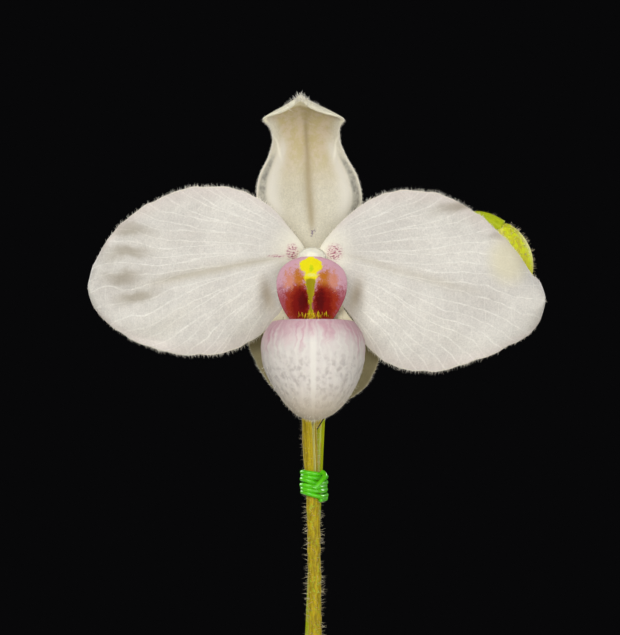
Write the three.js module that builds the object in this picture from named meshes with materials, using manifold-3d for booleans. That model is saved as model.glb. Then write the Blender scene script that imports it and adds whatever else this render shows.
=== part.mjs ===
// A potted slipper orchid: one open flower and a bud on a hairy stem, tied to a thin stake,
// above a two-ranked fan of strap leaves in a clay pot. Millimetres, +Z up, the flower faces -Y.
import * as THREE from "three";
import * as BufferGeometryUtils from "three/addons/utils/BufferGeometryUtils.js";
import Module from "manifold-3d";

const wasm = await Module();
wasm.setup();

// Driving dimensions
const POT_HEIGHT = 90;
const POT_FOOT_RADIUS = 36.5;
const POT_NECK_RADIUS = 49;
const POT_NECK_HEIGHT = 68;
const POT_RIM_RADIUS = 53;
const POT_INNER_FOOT_RADIUS = 32;
const POT_INNER_TOP_RADIUS = 48;
const POT_FLOOR = 6;
const DRAIN_RADIUS = 4;
const DRAIN_CIRCLE = 19;
const MIX_HEIGHT = 74;
const FLOWER_HEIGHT = 272;
const FLOWER_FORWARD = 14;
const STEM_RADIUS = 1.4;
const STAKE_RADIUS = 1.1;
const TIE_WIRE_RADIUS = 0.42;
const BLADE = 0.8;
const GAP = 0.3;

const group = new THREE.Group();

// The flower's own frame: its origin is where the petals meet, and -Y points out of its face.
const flower = new THREE.Group();
flower.position.set(0, -FLOWER_FORWARD, FLOWER_HEIGHT);
group.add(flower);

const smooth = THREE.MathUtils.smoothstep;
const lerp = THREE.MathUtils.lerp;
const radians = THREE.MathUtils.degToRad;

// A point of the flower's frame: across, out of the face, up.
function face(x, forward, z) {
  return new THREE.Vector3(x, -forward, z);
}

// The same point in the plant's frame.
function plant(x, forward, z) {
  return face(x, forward, z).add(flower.position);
}

// A smooth value along a list of [position, value] pairs, with no overshoot between them.
function along(pairs, position) {
  const slope = (i) => {
    const [before, here, after] = [pairs[i - 1], pairs[i], pairs[i + 1]];
    if (!before || !after) return 0;
    const rise = (here[1] - before[1]) * (after[1] - here[1]);
    return rise <= 0 ? 0 : (after[1] - before[1]) / (after[0] - before[0]);
  };
  let i = 0;
  while (i < pairs.length - 2 && position > pairs[i + 1][0]) i += 1;
  const [start, from] = pairs[i];
  const [end, to] = pairs[i + 1];
  const span = end - start;
  const t = THREE.MathUtils.clamp((position - start) / span, 0, 1);
  const eased = lerp(from, to, t * t * (3 - 2 * t));
  return eased + span * t * (1 - t) * ((1 - t) * slope(i) - t * slope(i + 1));
}

// A closed body from points and triangles: doubles are joined, collapsed triangles go,
// and the faces are turned outwards.
function body(points, triangles) {
  const positions = new Float32Array(points.flatMap((p) => [p.x, p.y, p.z]));
  let geometry = new THREE.BufferGeometry();
  geometry.setAttribute("position", new THREE.BufferAttribute(positions, 3));
  geometry.setIndex(triangles.flat());
  geometry = BufferGeometryUtils.mergeVertices(geometry, 1e-3);
  const index = geometry.index.array;
  const position = geometry.attributes.position;
  const a = new THREE.Vector3();
  const b = new THREE.Vector3();
  const c = new THREE.Vector3();
  const kept = [];
  let volume = 0;
  for (let i = 0; i < index.length; i += 3) {
    const [p, q, r] = [index[i], index[i + 1], index[i + 2]];
    if (p === q || q === r || r === p) continue;
    a.fromBufferAttribute(position, p);
    b.fromBufferAttribute(position, q);
    c.fromBufferAttribute(position, r);
    volume += a.dot(b.cross(c));
    kept.push([p, q, r]);
  }
  const outward = volume > 0 ? kept : kept.map(([p, q, r]) => [p, r, q]);
  geometry.setIndex(outward.flat());
  return geometry;
}

// A blade: place(v, u) gives its middle surface, and both faces are split alike.
function blade(rows, columns, place, thickness, spread = (t) => t) {
  const step = 0.01;
  const points = [];
  for (const side of [0.5, -0.5]) {
    for (let i = 0; i <= rows; i += 1) {
      const v = spread(i / rows);
      for (let j = 0; j <= columns; j += 1) {
        const u = j / columns;
        const v0 = Math.max(v - step, 0);
        const v1 = Math.min(v + step, 1);
        const u0 = Math.max(u - step, 0);
        const u1 = Math.min(u + step, 1);
        const down = place(v1, u).sub(place(v0, u));
        const across = place(v, u1).sub(place(v, u0));
        const normal = down.cross(across).normalize();
        points.push(place(v, u).addScaledVector(normal, side * thickness(v, u)));
      }
    }
  }
  const layer = (rows + 1) * (columns + 1);
  const at = (i, j, k) => k * layer + i * (columns + 1) + j;
  const triangles = [];
  const quad = (p, q, r, s) => triangles.push([p, q, r], [p, r, s]);
  for (let i = 0; i < rows; i += 1) {
    for (let j = 0; j < columns; j += 1) {
      quad(at(i, j, 0), at(i + 1, j, 0), at(i + 1, j + 1, 0), at(i, j + 1, 0));
      triangles.push([at(i, j, 1), at(i + 1, j + 1, 1), at(i + 1, j, 1)]);
      triangles.push([at(i, j, 1), at(i, j + 1, 1), at(i + 1, j + 1, 1)]);
    }
    quad(at(i, 0, 0), at(i, 0, 1), at(i + 1, 0, 1), at(i + 1, 0, 0));
    quad(at(i, columns, 0), at(i + 1, columns, 0), at(i + 1, columns, 1), at(i, columns, 1));
  }
  for (let j = 0; j < columns; j += 1) {
    quad(at(0, j, 0), at(0, j + 1, 0), at(0, j + 1, 1), at(0, j, 1));
    quad(at(rows, j, 0), at(rows, j, 1), at(rows, j + 1, 1), at(rows, j + 1, 0));
  }
  return body(points, triangles);
}

// A closed round form: place(row, turn) gives each ring, and the first and last are points.
function rings(rows, columns, place) {
  const points = [];
  for (let i = 0; i <= rows; i += 1) {
    for (let j = 0; j < columns; j += 1) points.push(place(i, (2 * Math.PI * j) / columns));
  }
  const at = (i, j) => i * columns + (j % columns);
  const triangles = [];
  for (let i = 0; i < rows; i += 1) {
    for (let j = 0; j < columns; j += 1) {
      triangles.push([at(i, j), at(i, j + 1), at(i + 1, j + 1)]);
      triangles.push([at(i, j), at(i + 1, j + 1), at(i + 1, j)]);
    }
  }
  return body(points, triangles);
}

// A stalk along a curve, closed at both ends: stations are the lengths at which it has a ring,
// and reference is a direction that the curve never takes.
function stalk(curve, stations, sides, radius, reference) {
  const length = curve.getLength();
  return rings(stations.length + 1, sides, (row, turn) => {
    const station = stations[Math.min(Math.max(row - 1, 0), stations.length - 1)];
    const axis = curve.getTangentAt(station / length);
    const normal = reference.clone().addScaledVector(axis, -reference.dot(axis)).normalize();
    const binormal = axis.clone().cross(normal);
    const point = curve.getPointAt(station / length);
    const r = row === 0 || row > stations.length ? 0 : radius(station);
    point.addScaledVector(normal, r * Math.cos(turn));
    return point.addScaledVector(binormal, r * Math.sin(turn));
  });
}

// Evenly spaced stations from one length to another.
function even(from, to, count) {
  return Array.from({ length: count + 1 }, (_, i) => lerp(from, to, i / count));
}

const ACROSS = new THREE.Vector3(1, 0, 0);
const BACK = new THREE.Vector3(0, 1, 0);
const UP = new THREE.Vector3(0, 0, 1);

function smoothCurve(points) {
  return new THREE.CatmullRomCurve3(points, false, "centripetal");
}

// Joins and cuts are made on solids.
function toSolid(source) {
  let geometry = source.clone();
  geometry.deleteAttribute("normal");
  geometry.deleteAttribute("uv");
  geometry = BufferGeometryUtils.mergeVertices(geometry, 1e-3);
  const index = geometry.index.array;
  const whole = [];
  for (let i = 0; i < index.length; i += 3) {
    const [p, q, r] = [index[i], index[i + 1], index[i + 2]];
    if (p !== q && q !== r && r !== p) whole.push(p, q, r);
  }
  return new wasm.Manifold(
    new wasm.Mesh({
      numProp: 3,
      vertProperties: new Float32Array(geometry.attributes.position.array),
      triVerts: new Uint32Array(whole),
    }),
  );
}

// The largest body of a solid as a geometry: loose scraps and sealed hollows go.
function fromSolid(solid) {
  const pieces = solid.decompose();
  const largest = pieces.reduce((best, piece) => (piece.volume() > best.volume() ? piece : best));
  const mesh = largest.getMesh();
  const geometry = new THREE.BufferGeometry();
  geometry.setAttribute("position", new THREE.BufferAttribute(mesh.vertProperties, 3));
  geometry.setIndex(Array.from(mesh.triVerts));
  return geometry;
}

function add(parent, name, geometry, colour, roughness) {
  const material = new THREE.MeshStandardMaterial({ color: colour, roughness, metalness: 0 });
  const mesh = new THREE.Mesh(geometry, material);
  mesh.name = name;
  parent.add(mesh);
}

// Lathe profiles are [radius, height] pairs turned about +Z.
function turned(profile, segments) {
  const geometry = new THREE.LatheGeometry(
    profile.map(([radius, height]) => new THREE.Vector2(radius, height)),
    segments,
  );
  return geometry.rotateX(Math.PI / 2);
}

// Pot: a tapered clay pot with a collar and drain holes round the middle of its floor.
const potProfile = [
  [0, 0],
  [POT_FOOT_RADIUS - 1.5, 0],
  [POT_FOOT_RADIUS, 1.5],
  [POT_NECK_RADIUS, POT_NECK_HEIGHT - 1],
  [POT_RIM_RADIUS - 1, POT_NECK_HEIGHT],
  [POT_RIM_RADIUS, POT_NECK_HEIGHT + 1.5],
  [POT_RIM_RADIUS + 0.8, POT_HEIGHT - 2.5],
  [POT_RIM_RADIUS - 0.8, POT_HEIGHT],
  [POT_INNER_TOP_RADIUS + 1.2, POT_HEIGHT],
  [POT_INNER_TOP_RADIUS, POT_HEIGHT - 1.5],
  [POT_INNER_FOOT_RADIUS, POT_FLOOR],
  [0, POT_FLOOR],
];
let pot = toSolid(turned(potProfile, 40));
for (let i = 0; i < 4; i += 1) {
  const angle = (Math.PI * (i + 0.5)) / 2;
  const drain = new THREE.CylinderGeometry(DRAIN_RADIUS, DRAIN_RADIUS, 3 * POT_FLOOR, 12);
  drain.rotateX(Math.PI / 2);
  drain.translate(DRAIN_CIRCLE * Math.cos(angle), DRAIN_CIRCLE * Math.sin(angle), 0);
  pot = pot.subtract(toSolid(drain));
}
add(group, "pot", fromSolid(pot), "#b5674a", 0.85);

// Crowns: the short stems that carry the leaves, standing in the mix.
const CROWN_DEPTH = 12;
const mainGrowth = { x: 0, y: 0, radius: 6.6, top: MIX_HEIGHT + 23 };
const youngGrowth = { x: 6, y: 29, radius: 4.2, top: MIX_HEIGHT + 14 };

function crown({ radius, top }, bore) {
  const bottom = MIX_HEIGHT - CROWN_DEPTH;
  const hub = bore > 0 ? [[bore, top], [bore, bottom + 8], [0, bottom + 8]] : [[0, top]];
  return [
    [0, bottom],
    [radius * 0.75, bottom],
    [radius, bottom + 6],
    [radius, top - 10],
    [radius * 0.8, top - 4],
    [radius * 0.5, top],
    ...hub,
  ];
}
const stemBore = STEM_RADIUS + 0.4;
add(group, "crown", turned(crown(mainGrowth, stemBore), 16), "#6d8a3a", 0.6);
const youngCrown = turned(crown(youngGrowth, 0), 16);
youngCrown.translate(youngGrowth.x, youngGrowth.y, 0);
add(group, "young_crown", youngCrown, "#7d9a44", 0.6);

// The room that a crown takes, with the gap round it.
function crownSpace({ x, y, radius, top }) {
  const geometry = turned(crown({ radius: radius + GAP, top: top + GAP }, 0), 16);
  return toSolid(geometry.translate(x, y, 0));
}

// Stake: a thin straight rod from the mix to just under the lip, its top cut at a slant.
const stakeFoot = new THREE.Vector3(-6.6, 13, 46);
const stakeTop = plant(1.95, -FLOWER_FORWARD - 3.2, -35);
const stakeLine = new THREE.LineCurve3(stakeFoot, stakeTop);
const slant = new THREE.BoxGeometry(12, 12, 8);
slant.rotateY(radians(-58));
slant.translate(stakeTop.x - 3.4, stakeTop.y, stakeTop.z + 2.9);
const stakeEnds = [0, stakeLine.getLength()];
const stake = toSolid(stalk(stakeLine, stakeEnds, 10, () => STAKE_RADIUS, ACROSS));
add(group, "stake", fromSolid(stake.subtract(toSolid(slant))), "#b7c424", 0.35);

// Potting mix: a bed of bark, with chips strewn over it from a seeded draw,
// and plain holes where the crowns and the stake stand.
let seed = 7;
function draw(low, high) {
  seed = (seed * 16807) % 2147483647;
  return lerp(low, high, seed / 2147483647);
}
const wallSlope = (POT_INNER_TOP_RADIUS - POT_INNER_FOOT_RADIUS) / (POT_HEIGHT - 1.5 - POT_FLOOR);
const innerWall = (height) => POT_INNER_FOOT_RADIUS + wallSlope * (height - POT_FLOOR);
const bedBottom = POT_FLOOR + 0.4;
const filling = (top) => [
  [0, bedBottom],
  [innerWall(bedBottom) - 0.6, bedBottom],
  [innerWall(top) - 0.6, top],
  [0, top],
];
let mix = toSolid(turned(filling(MIX_HEIGHT), 40));
const CHIPS = 56;
for (let i = 0; i < CHIPS; i += 1) {
  const distance = 38.5 * Math.sqrt((i + 0.5) / CHIPS);
  const angle = i * Math.PI * (3 - Math.sqrt(5));
  const chip = new THREE.BoxGeometry(draw(10, 17), draw(7, 12), draw(5, 7.5));
  chip.rotateX(draw(-0.28, 0.28));
  chip.rotateY(draw(-0.28, 0.28));
  chip.rotateZ(draw(0, Math.PI));
  const height = MIX_HEIGHT + draw(-0.6, 1.8);
  chip.translate(distance * Math.cos(angle), distance * Math.sin(angle), height);
  mix = mix.add(toSolid(chip));
}
mix = mix.intersect(toSolid(turned(filling(POT_HEIGHT - 4), 40)));
for (const { x, y, radius } of [mainGrowth, youngGrowth]) {
  const hole = new THREE.CylinderGeometry(radius + 0.4, radius + 0.4, 40, 16);
  hole.rotateX(Math.PI / 2);
  hole.translate(x, y, MIX_HEIGHT - CROWN_DEPTH - 0.4 + 20);
  mix = mix.subtract(toSolid(hole));
}
const stakeHoleLine = new THREE.LineCurve3(stakeFoot.clone().lerp(stakeTop, -0.003), stakeTop);
const stakeHole = stalk(stakeHoleLine, [0, 100], 10, () => STAKE_RADIUS + 0.35, ACROSS);
mix = mix.subtract(toSolid(stakeHole));
add(group, "potting_mix", fromSolid(mix), "#6b4a32", 0.95);

// Leaves: fleshy straps in two ranks. Each keel is an arc that starts steep at the crown and
// bends out, and the blade is folded along it, deepest at the base.
function leaf({ growth, height, azimuth, length, width, rise, fall, sway, wave }) {
  const start = radians(rise);
  const bend = radians(fall) - start;
  const turn = radians(azimuth);
  const out = new THREE.Vector3(Math.cos(turn), Math.sin(turn), 0);
  const side = new THREE.Vector3(-Math.sin(turn), Math.cos(turn), 0);
  const foot = new THREE.Vector3(growth.x, growth.y, MIX_HEIGHT + height);
  foot.addScaledVector(out, growth.radius - 0.6);
  const place = (v, u) => {
    const t = 2 * u - 1;
    const angle = start + bend * v;
    const reach = (length * (Math.sin(angle) - Math.sin(start))) / bend;
    const climb = (length * (Math.cos(start) - Math.cos(angle))) / bend;
    const swell = 0.34 + 0.66 * Math.sin((Math.PI / 2) * Math.min(1, v / 0.45));
    const taper = Math.sqrt(1 - Math.max(0, (v - 0.45) / 0.552) ** 2.6);
    const half = (width / 2) * swell * taper;
    const fold = radians(lerp(40, 7, smooth(v, 0, 0.55)));
    const lift = half * (Math.sin(fold) * Math.sqrt(t * t + 0.01) - 0.1 * t * t * v);
    const ripple = wave * t * t * Math.sin(2 * Math.PI * (2.1 * v + 0.3 * t)) * v;
    const up = new THREE.Vector3(0, 0, Math.cos(angle)).addScaledVector(out, -Math.sin(angle));
    const point = foot.clone().addScaledVector(out, reach);
    point.z += climb;
    point.addScaledVector(side, half * t * Math.cos(fold) + sway * v * v);
    return point.addScaledVector(up, lift + ripple);
  };
  const thickness = (v, u) => 1.5 - 0.6 * Math.abs(2 * u - 1);
  const strap = blade(13, 6, place, thickness, (t) => 1 - (1 - t) ** 1.45);
  return fromSolid(toSolid(strap).subtract(crownSpace(growth)));
}
const mainLeaves = [
  { height: 8, azimuth: 9, length: 142, width: 42, rise: 44, fall: -26, sway: -9, wave: 1.4 },
  { height: 8, azimuth: 187, length: 136, width: 41, rise: 46, fall: -30, sway: 8, wave: 1.6 },
  { height: 13, azimuth: -8, length: 128, width: 39, rise: 58, fall: -8, sway: -7, wave: 1.2 },
  { height: 13, azimuth: 169, length: 122, width: 38, rise: 60, fall: -14, sway: -8, wave: 1.3 },
  { height: 17.5, azimuth: 6, length: 92, width: 31, rise: 74, fall: 26, sway: 5, wave: 0.8 },
  { height: 17.5, azimuth: 184, length: 84, width: 29, rise: 76, fall: 34, sway: -4, wave: 0.8 },
];
mainLeaves.forEach((shape, i) => {
  const colour = i < 4 ? "#4f7a33" : "#6a9440";
  add(group, `leaf_${i + 1}`, leaf({ growth: mainGrowth, ...shape }), colour, 0.45);
});
const youngLeaves = [
  { height: 5, azimuth: 22, length: 78, width: 27, rise: 56, fall: 2, sway: 10, wave: 0.7 },
  { height: 6.5, azimuth: 166, length: 84, width: 28, rise: 54, fall: -4, sway: -10, wave: 0.7 },
  { height: 9.5, azimuth: 78, length: 56, width: 20, rise: 74, fall: 36, sway: 3, wave: 0.4 },
];
youngLeaves.forEach((shape, i) => {
  const geometry = leaf({ growth: youngGrowth, ...shape });
  add(group, `young_leaf_${i + 1}`, geometry, "#76a043", 0.45);
});

// Flower stem: it rises from the crown, narrows inside the bract, and swells into the ovary,
// which bends forward to the back of the flower. A branch carries the bud.
const ovaryEnd = -2.2;
const stemCurve = smoothCurve([
  new THREE.Vector3(0, 0, MIX_HEIGHT - CROWN_DEPTH + 8.5),
  new THREE.Vector3(0.1, 0, 110),
  plant(0.4, -FLOWER_FORWARD, -120),
  plant(0.55, -FLOWER_FORWARD, -80),
  plant(0.3, -FLOWER_FORWARD, -52),
  plant(-0.1, -FLOWER_FORWARD, -38),
  plant(-0.2, -13.6, -25),
  plant(-0.1, -12.4, -14),
  plant(0.1, -9.6, -6),
  plant(0.2, -6, -1.8),
  plant(0.2, ovaryEnd, -0.9),
]);
const stemLength = stemCurve.getLength();
const ovaryRadii = [
  [0, STEM_RADIUS],
  [stemLength - 51, STEM_RADIUS],
  [stemLength - 49.5, 0.9],
  [stemLength - 39, 0.95],
  [stemLength - 24, 2],
  [stemLength - 8, 2.1],
  [stemLength, 2.3],
];
const stemStations = [
  ...even(0, stemLength - 51, 10),
  ...even(stemLength - 49.5, stemLength - 39, 3),
  ...even(stemLength - 36, stemLength, 12),
];
const stem = toSolid(stalk(stemCurve, stemStations, 8, (at) => along(ovaryRadii, at), ACROSS));
const branchCurve = smoothCurve([
  plant(-0.2, -FLOWER_FORWARD, -32.5),
  plant(1.2, -14.4, -28),
  plant(5.5, -15.4, -22.5),
  plant(13, -16, -13),
  plant(22, -15.6, -2.6),
  plant(29.5, -14.6, 5.4),
  plant(34.4, -13.6, 8.1),
  plant(37.6, -12.7, 7.9),
  plant(41, -12.2, 6.2),
]);
const branchLength = branchCurve.getLength();
const branchRadii = [[0, 0.8], [20, 1], [35, 1.1], [52, 1.6], [branchLength, 1.7]];
const branchStations = even(0, branchLength, 18);
const branch = toSolid(stalk(branchCurve, branchStations, 7, (at) => along(branchRadii, at), BACK));
// Bracts: leafy sheaths round a stalk. The opening is a slit low down and widens upwards,
// so that the sheath ends in a tip on the side away from it.
function bract({ curve, from, to, opening, radii, openAngles }) {
  const north = new THREE.Vector3(0, 0, 1);
  const place = (v, u) => {
    const at = lerp(from, to, v);
    const centre = curve.getPointAt(at);
    const axis = curve.getTangentAt(at);
    const turnTo = new THREE.Quaternion().setFromUnitVectors(north, axis);
    const half = radians(along(openAngles, v));
    const angle = radians(opening) + lerp(half, 2 * Math.PI - half, u);
    const arm = new THREE.Vector3(Math.cos(angle), Math.sin(angle), 0).applyQuaternion(turnTo);
    return centre.addScaledVector(arm, along(radii, v));
  };
  return blade(9, 12, place, () => 0.6);
}
const flowerBract = bract({
  curve: stemCurve,
  from: 1 - 48.8 / stemLength,
  to: 1 - 26 / stemLength,
  opening: -57,
  radii: [[0, 1.5], [0.45, 1.55], [1, 3.1]],
  openAngles: [[0, 5], [0.33, 6], [0.5, 36], [0.66, 98], [0.9, 150], [1, 168]],
});
add(group, "floral_bract", flowerBract, "#a8971f", 0.6);
const budBract = bract({
  curve: branchCurve,
  from: 0.33,
  to: 0.56,
  opening: 60,
  radii: [[0, 1.75], [0.5, 2], [1, 2.9]],
  openAngles: [[0, 14], [0.4, 24], [0.8, 120], [1, 166]],
});
add(group, "bud_bract", budBract, "#98a52c", 0.6);

// Tie: plastic-coated wire wound round the stem and the stake, with one end bent into an eye.
const TIE_TURNS = 6;
const TIE_PITCH = 0.96;
const tieBottom = FLOWER_HEIGHT - 51.9;
const stemAtTie = new THREE.Vector2(0.3, 0);
const stakeAtTie = new THREE.Vector2();
{
  const t = (tieBottom + 3 - stakeFoot.z) / (stakeTop.z - stakeFoot.z);
  stakeAtTie.set(lerp(stakeFoot.x, stakeTop.x, t), lerp(stakeFoot.y, stakeTop.y, t));
}
function tiePoint(turns) {
  const angle = 2 * Math.PI * turns;
  const direction = new THREE.Vector2(Math.cos(angle), Math.sin(angle));
  const clearance = TIE_WIRE_RADIUS + 0.36;
  const stemReach = stemAtTie.dot(direction) + STEM_RADIUS;
  const stakeReach = stakeAtTie.dot(direction) + STAKE_RADIUS;
  const onStem = stemReach > stakeReach;
  const centre = onStem ? stemAtTie : stakeAtTie;
  const radius = (onStem ? STEM_RADIUS : STAKE_RADIUS) + clearance;
  const point = centre.clone().addScaledVector(direction, radius);
  const height = tieBottom + TIE_PITCH * turns + 0.5 * Math.sin(angle + 0.6);
  return new THREE.Vector3(point.x, point.y, height);
}
const tiePath = [];
const TIE_STEPS = 12;
for (let i = 0; i <= TIE_TURNS * TIE_STEPS; i += 1) tiePath.push(tiePoint(i / TIE_STEPS - 0.1));
const lastTurn = tiePath[tiePath.length - 1];
tiePath.push(
  new THREE.Vector3(lastTurn.x + 0.5, lastTurn.y + 0.6, lastTurn.z + 0.75),
  new THREE.Vector3(lastTurn.x + 0.5, lastTurn.y + 0.2, lastTurn.z + 1.7),
  new THREE.Vector3(lastTurn.x - 0.2, lastTurn.y - 0.5, lastTurn.z + 1.9),
);
const tieCurve = smoothCurve(tiePath);
const tieStations = even(0, tieCurve.getLength(), TIE_TURNS * 13 + 5);
const tie = stalk(tieCurve, tieStations, 5, () => TIE_WIRE_RADIUS, UP);
add(group, "tie_wire", tie, "#57c40f", 0.3);

// Petals and sepals are drawn by two edges from base to tip, seen from the front,
// and a depth across them.
function petalShape({ upper, lower, depth, rows, columns, thickness = BLADE }) {
  const edge = (points) => smoothCurve(points.map(([x, z]) => face(x, 0, z)));
  const upperEdge = edge(upper);
  const lowerEdge = edge(lower);
  const place = (v, u) => {
    const point = upperEdge.getPointAt(v).lerp(lowerEdge.getPointAt(v), u);
    point.y = -depth(v, u, point.x, point.z);
    return point;
  };
  return { geometry: blade(rows, columns, place, () => thickness), place };
}

// Column: the cream knob in the middle, with an anther on each side and the stigma below.
const columnCentre = { x: 0.2, z: -0.95 };
const columnRadius = 2.6;
function columnBody(grow) {
  const r = columnRadius + grow;
  const back = -2.6 - grow;
  const profile = [
    [0, back],
    [r, back],
    [r, 3.4],
    [r * 0.93, 4.8 + grow],
    [r * 0.6, 5.9 + grow],
    [0, 6.4 + grow],
  ];
  const geometry = turned(profile, 14);
  geometry.rotateX(Math.PI / 2);
  geometry.translate(columnCentre.x, 0, columnCentre.z);
  return toSolid(geometry);
}

// Staminode: the domed shield in front of the column, with a groove down its middle.
const staminodeOutline = {
  upper: [[-2, -0.6], [-4.5, -1.6], [-6.3, -3.3], [-7, -5.4], [-6.8, -8.3], [-5.7, -11.4], [-3.6, -14.6]],
  lower: [[2, -0.6], [4.7, -1.6], [6.7, -3.4], [7.4, -5.8], [7, -8.8], [5.7, -11.6], [3.8, -14.6]],
};
const staminodeDepth = (v, u, x, z) => {
  const across = (x - 0.2) / 7.5;
  const dome = 2.3 * (1 - across * across);
  const groove = 0.9 * Math.exp(-((x - 0.2) ** 2) / 1.6) * smooth(-z, 2, 8);
  return 3.7 + 0.3 * -z + dome - groove;
};
const staminode = petalShape({
  ...staminodeOutline,
  depth: staminodeDepth,
  rows: 9,
  columns: 10,
});
add(flower, "staminode", staminode.geometry, "#a8301a", 0.4);

let column = columnBody(0);
for (const side of [-1, 1]) {
  const anther = new THREE.SphereGeometry(1.15, 8, 6);
  anther.translate(columnCentre.x + side * 2.8, -3.2, columnCentre.z - 0.9);
  column = column.add(toSolid(anther));
}
const stigma = new THREE.SphereGeometry(1, 10, 6);
stigma.scale(1.7, 1, 1.5);
stigma.translate(columnCentre.x, -4.2, columnCentre.z - 2.9);
column = column.add(toSolid(stigma));
const staminodeSpace = blade(9, 10, staminode.place, () => BLADE + 2 * GAP);
column = column.subtract(toSolid(staminodeSpace));
add(flower, "column", fromSolid(column), "#fffbe6", 0.5);
const columnSpace = columnBody(GAP);
const seated = (geometry) => fromSolid(toSolid(geometry).subtract(columnSpace));

// Bud: an egg with three low ridges, nodding from the end of its ovary.
const budStart = face(41.7, -12.15, 7.2);
const budAxis = new THREE.Vector3(0.08, 0.08, -1).normalize();
const BUD_LENGTH = 19;
const BUD_RADIUS = 5.2;
const BUD_ROWS = 9;
const budSide = new THREE.Vector3(1, 0, 0).cross(budAxis).normalize();
const budFront = budAxis.clone().cross(budSide).normalize();
function budBody(grow) {
  return rings(BUD_ROWS, 12, (row, turn) => {
    const t = row / BUD_ROWS;
    const swell = Math.sin(Math.PI * t ** 0.9) ** 0.7 * (1 + 0.05 * Math.cos(3 * turn));
    const radius = t === 0 || t === 1 ? 0 : BUD_RADIUS * swell + grow;
    const point = budStart.clone().addScaledVector(budAxis, (BUD_LENGTH + 2 * grow) * t - grow);
    point.addScaledVector(budSide, radius * Math.sin(turn));
    return point.addScaledVector(budFront, radius * Math.cos(turn));
  });
}
add(flower, "bud", budBody(0), "#c4cf22", 0.55);

// The flower stem ends against the column, and its branch against the bud.
const inPlant = (solid) => solid.translate(flower.position.toArray());
const peduncle = stem
  .add(branch)
  .subtract(inPlant(columnSpace))
  .subtract(inPlant(toSolid(budBody(GAP))));
add(group, "peduncle", fromSolid(peduncle), "#b39a22", 0.7);

// Petals: broad and nearly flat, their margins softly waved.
function petalDepth(phase) {
  return (v, t) => {
    const sweep = 0.75 + 2.2 * Math.sin(Math.PI * Math.min(1, v * 1.05)) - 2.6 * v * v;
    const crown = -1.3 * (2 * t - 1) ** 2 * smooth(v, 0.15, 0.6);
    const keel = -0.5 * Math.exp(-(((t - 0.46) / 0.1) ** 2)) * (1 - v);
    const edge = smooth(t, 0.62, 1) + 0.5 * smooth(1 - t, 0.7, 1);
    const ruffle = 0.8 * edge * Math.sin(2 * Math.PI * (2.6 * v + phase)) * smooth(v, 0.2, 0.5);
    return sweep + crown + keel + ruffle;
  };
}
const petalLeft = petalShape({
  upper: [
    [0, 2.2], [-4.2, 5.4], [-7.4, 9.1], [-11.3, 12], [-16.4, 13.9], [-22.8, 14.3], [-29.2, 13],
    [-37.6, 8.5], [-41.1, 5.2], [-43.9, 1.3], [-46.2, -3.4], [-46.8, -6],
  ],
  lower: [
    [0, -4.2], [-6.1, -11.8], [-10.5, -16.6], [-15.8, -19.7], [-22.9, -21], [-31.7, -20],
    [-39.5, -16.6], [-44.3, -12.6], [-46.4, -9], [-46.8, -7.2],
  ],
  depth: petalDepth(0.1),
  rows: 15,
  columns: 9,
});
add(flower, "petal_left", seated(petalLeft.geometry), "#e0dbd3", 0.55);
const petalRight = petalShape({
  upper: [
    [0.4, 2.2], [4.2, 4.8], [7.4, 7.9], [13.2, 12], [19.6, 13.5], [27.3, 12.6], [34.4, 9],
    [41.8, 2.3], [46.9, -4.1], [48.7, -8], [48.8, -9.4],
  ],
  lower: [
    [0.4, -4.2], [8.6, -13.2], [11.3, -18.5], [15.8, -22.5], [24.8, -24.5], [35.1, -21.9],
    [42.5, -17.9], [47, -14], [48.6, -10.8],
  ],
  depth: petalDepth(0.35),
  rows: 15,
  columns: 9,
});
add(flower, "petal_right", seated(petalRight.geometry), "#e0dbd3", 0.55);

// Dorsal sepal: upright behind the petals, then hooded forward over the flower.
// Its margins cup inwards and make two corners under the folded tip.
const sepalMidrib = smoothCurve([
  face(0.4, -1.6, 0.6),
  face(0.1, -2.8, 7),
  face(-0.45, -3.4, 14),
  face(-0.75, -3, 21),
  face(-1.2, -0.9, 27.4),
  face(-1.7, 3.4, 31),
  face(-2.1, 7.2, 32),
  face(-2.3, 10, 31.7),
]);
const sepalWidths = [
  [0, 2.2], [0.14, 7.8], [0.3, 11], [0.41, 10.2], [0.52, 8.2], [0.63, 7.1], [0.77, 8.3], [0.89, 4.8],
  [1, 0.7],
];
const sepalCups = [[0, 0.3], [0.3, 1.2], [0.5, 2.2], [0.66, 3], [0.79, 3.8], [0.92, 1.7], [1, 0.2]];
const sepalPlace = (v, u) => {
  const t = 2 * u - 1;
  const point = sepalMidrib.getPointAt(v);
  const tangent = sepalMidrib.getTangentAt(v);
  const inward = new THREE.Vector3(0, -tangent.z, tangent.y).normalize();
  const bulge = smooth(v, 0.1, 0.3) * (1 - smooth(v, 0.5, 0.66));
  const recurve = 1.2 * smooth(Math.abs(t), 0.7, 1) * bulge;
  point.x += along(sepalWidths, v) * t;
  const ridge = 0.5 * Math.exp(-((t / 0.16) ** 2)) * smooth(v, 0.1, 0.4);
  return point.addScaledVector(inward, along(sepalCups, v) * t * t - recurve - ridge);
};
const dorsalSepal = blade(15, 8, sepalPlace, () => BLADE);
add(flower, "dorsal_sepal", seated(dorsalSepal), "#d6d0bc", 0.6);

// Synsepal: the two lower sepals grown into one, cupped round the back of the lip.
const synsepal = petalShape({
  upper: [
    [-1.6, -2.2], [-8, -6.5], [-12.4, -12.5], [-13.3, -18], [-11.6, -22.4], [-8.2, -27.6], [-0.8, -32.6],
  ],
  lower: [
    [2, -2.2], [9, -6.5], [13.6, -12.5], [14.7, -19], [13.6, -24], [10.4, -28.6], [1.8, -32.8],
  ],
  depth: (v, u) => -2.1 - 0.9 * Math.sin(Math.PI * v) + 1.1 * (2 * u - 1) ** 2 + 1.2 * v * v,
  rows: 11,
  columns: 8,
});
add(flower, "synsepal", seated(synsepal.geometry), "#8a8464", 0.65);

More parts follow.
